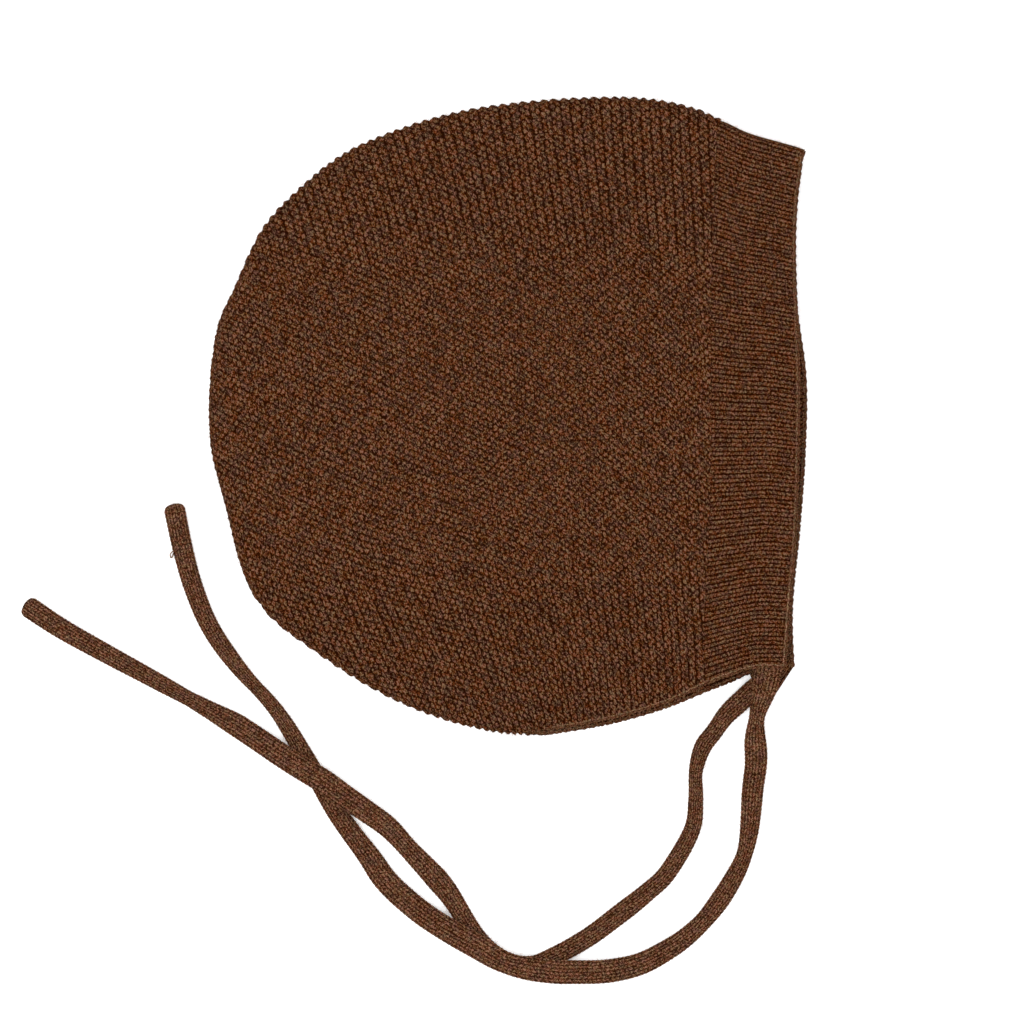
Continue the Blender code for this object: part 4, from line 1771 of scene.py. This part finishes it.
@dataclass
class Studio:
    """The floor, the light and the camera straight above the bonnet."""

    distance: float = 1.5  # from the camera to the bonnet
    sensor: float = 36.0  # millimetres
    clip: tuple[float, float] = (0.05, 50.0)  # nearest and furthest that the camera sees
    floor_size: float = 12.0
    floor_shade: float = 0.94
    floor_glow: float = 0.18
    floor_roughness: float = 0.9
    floor_shine: float = 0.1
    sky_strength: float = 1.32
    key_energy: float = 16.0
    key_size: float = 1.1
    key_place: tuple[float, float, float] = (-0.30, -0.20, 1.70)

    def camera(self) -> None:
        """Look straight down at the photograph's frame."""
        data = bpy.data.cameras.new("camera")
        data.sensor_width = self.sensor
        data.lens = self.sensor * self.distance / (PHOTO_SIDE * PIXEL)
        data.clip_start, data.clip_end = self.clip
        camera = bpy.data.objects.new("camera", data)
        middle = at_pixel(PHOTO_SIDE / 2, PHOTO_SIDE / 2)
        camera.location = (*middle, self.distance + FOLD_RADIUS)
        bpy.context.collection.objects.link(camera)
        bpy.context.scene.camera = camera

    def floor(self) -> None:
        """A plain pale floor."""
        half = self.floor_size / 2
        mesh = bpy.data.meshes.new("floor")
        corners = [(-half, -half, 0), (half, -half, 0), (half, half, 0), (-half, half, 0)]
        mesh.from_pydata(corners, [], [(0, 1, 2, 3)])
        material = bpy.data.materials.new("floor")
        material.use_nodes = True
        shader = material.node_tree.nodes["Principled BSDF"]
        values = {
            "Base Color": (self.floor_shade,) * 3 + (1.0,),
            "Roughness": self.floor_roughness,
            "Specular IOR Level": self.floor_shine,
            "Emission Color": WHITE,
            "Emission Strength": self.floor_glow,
        }
        for title, value in values.items():
            shader.inputs[title].default_value = value
        mesh.materials.append(material)
        floor = bpy.data.objects.new("floor", mesh)
        bpy.context.collection.objects.link(floor)

    def light(self) -> None:
        """A white sky and one large soft lamp from the upper left."""
        world = bpy.data.worlds.new("studio")
        world.use_nodes = True
        background = world.node_tree.nodes["Background"]
        background.inputs["Color"].default_value = WHITE
        background.inputs["Strength"].default_value = self.sky_strength
        bpy.context.scene.world = world
        data = bpy.data.lights.new("key", "AREA")
        data.energy = self.key_energy
        data.size = self.key_size
        key = bpy.data.objects.new("key", data)
        key.location = self.key_place
        away = np.array(self.key_place)
        key.rotation_euler = (
            math.atan2(math.hypot(away[0], away[1]), away[2]),
            0.0,
            math.atan2(away[0], -away[1]),
        )
        bpy.context.collection.objects.link(key)
        scene = bpy.context.scene
        scene.view_settings.view_transform = "Standard"
        scene.view_settings.look = "None"


STITCH_OUTPUTS = ("Height", "Hollow", "Stitch", "Strand")


class Nodes:
    """A short way to add and link the nodes of one tree."""

    def __init__(self, tree: bpy.types.NodeTree) -> None:
        """Start on a tree."""
        self.tree = tree

    def link(self, value: Feed, socket: Socket) -> None:
        """Feed a socket with another socket, or set it to a number or colour.

        Args:
            value: The other socket, the number or the colour.
            socket: The socket to feed.
        """
        if isinstance(value, Socket):
            self.tree.links.new(value, socket)
        else:
            socket.default_value = value

    def add(self, kind: str, values: Values, **settings: str | bool) -> bpy.types.Node:
        """Add a node.

        Args:
            kind: Its type, without the words ShaderNode.
            values: What feeds its sockets, by their names or numbers or in their order.
            settings: Its settings.

        Returns:
            The node.
        """
        node = self.tree.nodes.new(f"ShaderNode{kind}")
        for title, setting in settings.items():
            setattr(node, title, setting)
        rows = values if isinstance(values, dict) else dict(enumerate(values))
        for place, value in rows.items():
            self.link(value, node.inputs[place])
        return node

    def math(self, operation: str, *values: Feed, clamp: bool = False) -> Socket:
        """A Math node's result."""
        return self.add("Math", values, operation=operation, use_clamp=clamp).outputs[0]

    def vector(self, operation: str, *values: Feed) -> Socket:
        """A Vector Math node's vector."""
        return self.add("VectorMath", values, operation=operation).outputs[0]

    def mix(self, kind: str, share: Feed, first: Feed, second: Feed) -> Socket:
        """The colour where a share of the second colour mixes into the first."""
        values = {"Factor": share, 6: first, 7: second}
        return self.add("Mix", values, data_type="RGBA", blend_type=kind).outputs[2]

    def ranged(self, *values: Feed) -> Socket:
        """A smooth Map Range node's result, for a value, its two ends and the result's."""
        return self.add("MapRange", values, interpolation_type="SMOOTHSTEP").outputs[0]

    def noise(self, vector: Feed, scale: Feed, detail: float, roughness: float) -> Socket:
        """A Noise node's value."""
        values = {"Vector": vector, "Scale": scale, "Detail": detail, "Roughness": roughness}
        return self.add("TexNoise", values).outputs["Fac"]

    def white(self, vector: Feed) -> Socket:
        """A random value for each vector."""
        return self.add("TexWhiteNoise", (vector,), noise_dimensions="2D").outputs["Value"]

    def split(self, vector: Feed) -> list[Socket]:
        """The first two numbers of a vector."""
        return self.add("SeparateXYZ", (vector,)).outputs[:2]

    def join(self, *numbers: Feed) -> Socket:
        """A vector of two or three numbers."""
        return self.add("CombineXYZ", numbers).outputs[0]

    def strayed(self, vector: Feed, place: Feed, amount: Feed) -> Socket:
        """Let a vector stray a little from place to place.

        Args:
            vector: The vector.
            place: The place on the bonnet.
            amount: How far it strays.

        Returns:
            The strayed vector.
        """
        noise = self.add("TexNoise", {"Vector": place, "Scale": STRAY_SCALE, "Detail": 1.0})
        off = self.vector("SUBTRACT", noise.outputs["Color"], (0.5, 0.5, 0.5))
        return self.vector("MULTIPLY_ADD", off, self.join(*[amount] * 3), vector)


class Group:
    """A shader node group with named inputs and outputs."""

    def __init__(self, name: str, inputs: dict[str, Feed | None], outputs: dict) -> None:
        """Make the group and its sockets.

        Args:
            name: The group's name.
            inputs: For each input, its number or colour, or None for a vector.
            outputs: For each output, its kind.
        """
        self.tree = bpy.data.node_groups.new(name, "ShaderNodeTree")
        kinds = {float: Kind.FLOAT, tuple: Kind.COLOUR, type(None): Kind.VECTOR}
        for title, value in inputs.items():
            kind = kinds[type(value)].value
            socket = self.tree.interface.new_socket(title, in_out="INPUT", socket_type=kind)
            if value is not None:
                socket.default_value = value
        for title, kind in outputs.items():
            self.tree.interface.new_socket(title, in_out="OUTPUT", socket_type=kind.value)
        self.nodes = Nodes(self.tree)
        self.inputs = self.tree.nodes.new("NodeGroupInput").outputs
        self.outputs = self.tree.nodes.new("NodeGroupOutput").inputs

    def put(self, **values: Feed) -> None:
        """Link results to the outputs of those names."""
        for title, value in values.items():
            self.nodes.link(value, self.outputs[title])


def stitch_group(stitch: Stitch, **values: float) -> Group:
    """A group that reads the stitch counts and the place, with some named numbers."""
    outputs = dict.fromkeys(STITCH_OUTPUTS, Kind.FLOAT)
    return Group(stitch.value, {"Counts": None, "Place": None, **values}, outputs)


def finish_stitch(
    group: Group, across: Feed, along: Feed, cell: Feed, strands: Feed, line: Feed
) -> bpy.types.NodeTree:
    """Work out a stitch group's results.

    Args:
        group: The group.
        across: Distance across the stitch, 1 at its edge.
        along: Distance along it, 1 at its end.
        cell: A vector that is the same all over one stitch.
        strands: A vector that the strands of the yarn follow.
        line: Painted shade for how much the place lies in a gap between two columns or pairs of
            courses.

    Returns:
        The group's tree.
    """
    nodes = group.nodes
    gap = nodes.math("MULTIPLY_ADD", across, across, nodes.math("MULTIPLY", along, along))
    height = nodes.math("SQRT", nodes.math("SUBTRACT", 1.0, gap, clamp=True))
    # Painted shade: each stitch darkens towards its edge, and more where line puts a gap.
    hollow_shade = nodes.ranged(gap, *HOLLOW_SHADE_OVER)
    random = nodes.white(cell)
    apart = nodes.math("MULTIPLY", random, STRANDS_APART)
    lifted = nodes.join(*nodes.split(strands), apart)
    strand = nodes.noise(lifted, 1.0, 1.5, 0.6)
    hollow_shade = nodes.math("ADD", hollow_shade, line)
    group.put(Height=height, Hollow=hollow_shade, Stitch=random, Strand=strand)
    return group.tree


def moss_group() -> bpy.types.NodeTree:
    """Moss stitch from the stitch counts: one upright oval for each pair of whole counts.

    Returns:
        The group's tree.
    """
    group = stitch_group(
        Stitch.MOSS, Width=0.26, Length=0.40, Slant=0.12, Strands=4.4, Waver=0.42, Pairing=1.20
    )
    nodes = group.nodes
    inputs = group.inputs
    counts = nodes.strayed(inputs["Counts"], inputs["Place"], inputs["Waver"])
    first, second = nodes.split(counts)
    whole = [nodes.math("ROUND", count) for count in (first, second)]
    off = [nodes.math("SUBTRACT", count, near) for count, near in zip((first, second), whole)]
    across = nodes.math("MULTIPLY", nodes.math("ADD", *off), 0.5)
    along = nodes.math("MULTIPLY", nodes.math("SUBTRACT", *off), 0.5)
    leaning = nodes.math("ADD", across, nodes.math("MULTIPLY", along, inputs["Slant"]))
    strands = nodes.join(
        nodes.math("MULTIPLY", leaning, inputs["Strands"]), nodes.math("MULTIPLY", along, 1.7)
    )
    # Painted shade in the gaps between paired courses, above and below the middle; Pairing sets how
    # dark.
    course = nodes.math("MULTIPLY", nodes.math("ADD", first, second), math.pi)
    wave = nodes.math("MULTIPLY_ADD", nodes.math("SINE", course), -0.5, 0.5)
    height = nodes.math("ABSOLUTE", nodes.split(inputs["Place"])[1])
    stripes_at = STRIPES_FROM + STRIPES_OVER
    striped = nodes.ranged(height, STRIPES_FROM, stripes_at, 0.0, inputs["Pairing"])
    gap = nodes.math("SUBTRACT", nodes.math("POWER", wave, 4.0), 0.2)
    gap = nodes.math("MULTIPLY", gap, striped)
    return finish_stitch(
        group,
        nodes.math("DIVIDE", leaning, inputs["Width"]),
        nodes.math("DIVIDE", along, inputs["Length"]),
        nodes.join(*whole),
        strands,
        gap,
    )


def plain_group() -> bpy.types.NodeTree:
    """Columns of V shaped stitches from the stitch counts, one oval for each leg.

    Returns:
        The group's tree.
    """
    group = stitch_group(
        Stitch.PLAIN, Width=0.20, Length=0.52, Slant=1.8, Strands=4.4, Waver=0.40, Ribbing=0.0
    )
    nodes = group.nodes
    inputs = group.inputs
    counts = nodes.strayed(inputs["Counts"], inputs["Place"], inputs["Waver"])
    count, column = nodes.split(counts)
    whole = nodes.math("ROUND", column)
    within = nodes.math("SUBTRACT", column, whole)
    away = nodes.math("ABSOLUTE", within)
    slanted = nodes.math("ADD", count, nodes.math("MULTIPLY", away, inputs["Slant"]))
    row = nodes.math("ROUND", slanted)
    along = nodes.math("SUBTRACT", slanted, row)
    across = nodes.math("SUBTRACT", away, 0.25)
    side = nodes.math("MULTIPLY", nodes.math("SIGN", within), 0.25)
    turns = nodes.math("MULTIPLY", inputs["Strands"], 0.5)
    strands = nodes.join(
        nodes.math("MULTIPLY", slanted, turns), nodes.math("MULTIPLY", column, 1.3)
    )
    return finish_stitch(
        group,
        nodes.math("DIVIDE", across, inputs["Width"]),
        nodes.math("DIVIDE", along, inputs["Length"]),
        nodes.join(nodes.math("ADD", whole, side), row),
        strands,
        # painted shade in the gap between two columns, as dark as Ribbing
        nodes.ranged(away, 0.36, 0.5, 0.0, inputs["Ribbing"]),
    )


def heather_and_shade_group() -> bpy.types.NodeTree:
    """Wool spun from fibres of several browns, with painted shade in the knit's hollows and gaps
    and painted light on the stitches' crests.

    Returns:
        The group's tree.
    """
    group = Group(
        HEATHER_AND_SHADE,
        {
            "Place": None,
            "Grain": None,
            "Height": 0.5,
            "Hollow": 0.0,
            "Stitch": 0.5,
            "Strand": 0.5,
            "Dark": (0.02, 0.005, 0.001, 1),
            "Brown": (0.09, 0.035, 0.015, 1),
            "Rust": (0.12, 0.035, 0.010, 1),
            "Pale": (0.25, 0.13, 0.08, 1),
            "Grey": (0.07, 0.036, 0.024, 1),
            "Contrast": 1.0,
            "Shade": 0.27,
            "Fibre": 3100.0,
            "Cloud": 400.0,
        },
        {"Color": Kind.COLOUR, "Fluff": Kind.FLOAT},
    )
    nodes = group.nodes
    inputs = group.inputs
    place = inputs["Place"]
    fibres = nodes.noise(inputs["Grain"], inputs["Fibre"], 1.0, 0.5)
    cloud = nodes.noise(place, inputs["Cloud"], 2.0, 0.7)
    tint = nodes.noise(nodes.vector("ADD", place, (0.3, 0.1, 0.2)), 900.0, 1.0, 0.5)
    # What lightens the wool, its middle value and its share. The stitch's height is painted light
    # on its crest, and the rest is the yarn's own tone.
    shares = (
        (inputs["Height"], 0.62, 0.24),
        (inputs["Strand"], 0.50, 1.30),
        (inputs["Stitch"], 0.50, 0.12),
        (fibres, 0.50, 2.85),
    )
    tone = 0.0
    for value, middle, share in shares:
        off = nodes.math("SUBTRACT", value, middle)
        tone = nodes.math("MULTIPLY_ADD", off, share, tone)
    tone = nodes.math("MULTIPLY_ADD", tone, inputs["Contrast"], 0.49)
    # Painted shade: the knit's hollows and gaps darken the tone by Shade.
    tone = nodes.math("SUBTRACT", tone, nodes.math("MULTIPLY", inputs["Hollow"], inputs["Shade"]))
    hue = nodes.math("MULTIPLY_ADD", nodes.math("SUBTRACT", inputs["Stitch"], 0.5), 0.16, cloud)
    # Between these values of the hue or the tone, one brown gives way to the next.
    middle = nodes.mix("MIX", nodes.ranged(hue, 0.48, 0.62), inputs["Brown"], inputs["Rust"])
    middle = nodes.mix("MIX", nodes.ranged(hue, 0.51, 0.37), middle, inputs["Grey"])
    # The tone's dark end takes the painted shade as well as dark fibres, and its pale end the
    # painted light on the crests as well as pale fibres.
    colour = nodes.mix("MIX", nodes.ranged(tone, 0.06, 0.52), inputs["Dark"], middle)
    colour = nodes.mix("MIX", nodes.ranged(tone, 0.50, 1.0), colour, inputs["Pale"])
    tint = nodes.mix("MIX", nodes.ranged(tint, 0.36, 0.64), RED_TINT, GREEN_TINT)
    colour = nodes.mix("MULTIPLY", 1.0, colour, tint)
    group.put(Color=colour, Fluff=nodes.math("MULTIPLY_ADD", inputs["Strand"], 2.0, fibres))
    return group.tree


@dataclass(frozen=True)
class Wool:
    """A knitted wool finish."""

    name: str
    stitch: Stitch
    stitch_values: tuple[tuple[str, float], ...] = ()
    dark: Rgba = (0.012, 0.0023, 0.0002, 1.0)
    brown: Rgba = (0.061, 0.0205, 0.0065, 1.0)
    rust: Rgba = (0.080, 0.0215, 0.0045, 1.0)
    pale: Rgba = (0.150, 0.080, 0.047, 1.0)
    grey: Rgba = (0.054, 0.0250, 0.0150, 1.0)
    contrast: float = 1.0
    # how dark the painted shade of the knit's hollows and gaps is
    shade: float = 0.27
    grain: tuple[float, float] = (0.0, 1.0)  # direction of the fibres, and how long they are
    bump: float = 0.00016  # height of the yarn in the shading
    fluff: float = 0.00008  # and of its fibres
    roughness: float = 0.95

    def material(self) -> bpy.types.Material:
        """Make the finish.

        Returns:
            The material.
        """
        material = bpy.data.materials.new(self.name)
        material.use_nodes = True
        nodes = Nodes(material.node_tree)
        groups = bpy.data.node_groups
        place = nodes.add("TexCoord", ()).outputs["Object"]
        counts = nodes.add("UVMap", (), uv_map=STITCH_MAP).outputs[0]
        values = {"Counts": counts, "Place": place, **dict(self.stitch_values)}
        knit = nodes.add("Group", values, node_tree=groups[self.stitch.value])
        turn, stretch = (0.0, 0.0, self.grain[0]), (self.grain[1], 1.0, 1.0)
        values = {"Vector": place, "Rotation": turn, "Scale": stretch}
        grain = nodes.add("Mapping", values, vector_type="TEXTURE").outputs[0]
        values = {"Place": place, "Grain": grain}
        values |= {title: knit.outputs[title] for title in STITCH_OUTPUTS}
        for title in ("dark", "brown", "rust", "pale", "grey", "contrast", "shade"):
            values[title.title()] = getattr(self, title)
        heather_and_shade = nodes.add("Group", values, node_tree=groups[HEATHER_AND_SHADE]).outputs
        stitches = nodes.add("Bump", {"Distance": self.bump, "Height": knit.outputs["Height"]})
        values = {"Distance": self.fluff, "Height": heather_and_shade["Fluff"]}
        fluff = nodes.add("Bump", {**values, "Normal": stitches.outputs[0]}).outputs[0]
        values = {"Base Color": heather_and_shade["Color"], "Normal": fluff, "Roughness": self.roughness}
        values["Specular IOR Level"] = 0.0
        shader = material.node_tree.nodes["Principled BSDF"]
        for title, value in values.items():
            nodes.link(value, shader.inputs[title])
        return material


@dataclass(frozen=True)
class Fibre:
    """A finish for loose fibres."""

    name: str = "wool_fibre"
    colour: Rgba = (0.300, 0.130, 0.055, 1.0)
    roughness: float = 0.8
    shine: float = 0.1

    def material(self) -> bpy.types.Material:
        """Make the finish.

        Returns:
            The material.
        """
        material = bpy.data.materials.new(self.name)
        material.use_nodes = True
        shader = material.node_tree.nodes["Principled BSDF"]
        shader.inputs["Base Color"].default_value = self.colour
        shader.inputs["Roughness"].default_value = self.roughness
        shader.inputs["Specular IOR Level"].default_value = self.shine
        return material


MOSS = Wool("moss_wool", Stitch.MOSS, grain=(2.1, 1.8))
RIB = Wool(
    "rib_wool",
    Stitch.PLAIN,
    (("Slant", RIB_SLANT), ("Width", 0.20), ("Length", 0.56), ("Ribbing", 0.60), ("Waver", 0.20)),
    shade=0.40,
)
PLAIN = Wool(
    "plain_wool",
    Stitch.PLAIN,
    (("Slant", TIE_SLANT), ("Width", 0.20), ("Length", 0.50), ("Waver", 0.30)),
    dark=(0.016, 0.0045, 0.0012, 1.0),
    brown=(0.090, 0.036, 0.0155, 1.0),
    rust=(0.100, 0.034, 0.0130, 1.0),
    pale=(0.200, 0.110, 0.066, 1.0),
    grey=(0.084, 0.040, 0.0250, 1.0),
)
# The chain's browns are lighter than the crown's: partly a paler chain along the edges, partly
# painted light that makes up for the shade the upper layer casts on the lower layer's edge.
CHAIN_PAINTED_LIGHT = Wool(
    "chain_wool",
    Stitch.PLAIN,
    (("Slant", CHAIN_SLANT), ("Width", 0.22), ("Waver", 0.2)),
    brown=(0.100, 0.042, 0.0190, 1.0),
    rust=(0.110, 0.044, 0.0180, 1.0),
    grey=(0.094, 0.044, 0.0230, 1.0),
    contrast=0.8,
)
YARN = Wool(
    "edge_yarn",
    Stitch.PLAIN,
    (("Slant", YARN_SLANT),),
    dark=(0.060, 0.026, 0.0120, 1.0),
    brown=(0.250, 0.140, 0.0750, 1.0),
    rust=(0.270, 0.145, 0.0750, 1.0),
    pale=(0.400, 0.270, 0.1700, 1.0),
    grey=(0.210, 0.125, 0.0750, 1.0),
    contrast=0.8,
)


def main() -> None:
    """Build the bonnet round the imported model."""
    logging.basicConfig(level=logging.INFO, format="%(name)s %(message)s")
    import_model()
    studio = Studio()
    studio.camera()
    studio.floor()
    studio.light()
    for group in (moss_group, plain_group, heather_and_shade_group):
        group()
    finishes = (MOSS, RIB, PLAIN, CHAIN_PAINTED_LIGHT, YARN)
    moss, rib, plain, chain, yarn = (finish.material() for finish in finishes)
    fibre = Fibre().material()
    routes = {
        "upper_tie": (UPPER_TIE_ROUTE, UPPER_TIE_WAISTS),
        "lower_tie": (LOWER_TIE_ROUTE, LOWER_TIE_WAISTS),
    }
    for name, (route, waists) in routes.items():
        tie = Tie(name, route, waists)
        Fuzz(1400).build(tie.build(plain), tie.name, tie.slot, fibre)
    Loop().build(yarn)
    shape = Shape()
    band = Band(shape)
    crown = Crown(shape, Courses())
    for side in Side:
        Fuzz(700).build(band.outside(side, rib), band.node, band.slot, fibre)
        Fuzz(2600).build(crown.outside(side, moss), crown.node, crown.slot, fibre)
    band.inside(rib)
    crown.inside(moss)
    edges = Edges(shape)
    Fuzz(1000, rim=1.0).build(edges.neck(chain, yarn), crown.node, crown.slot, fibre)
    Fuzz(700, rim=1.0).build(edges.front(chain, yarn), band.node, band.slot, fibre)


if __name__ == "__main__":
    main()
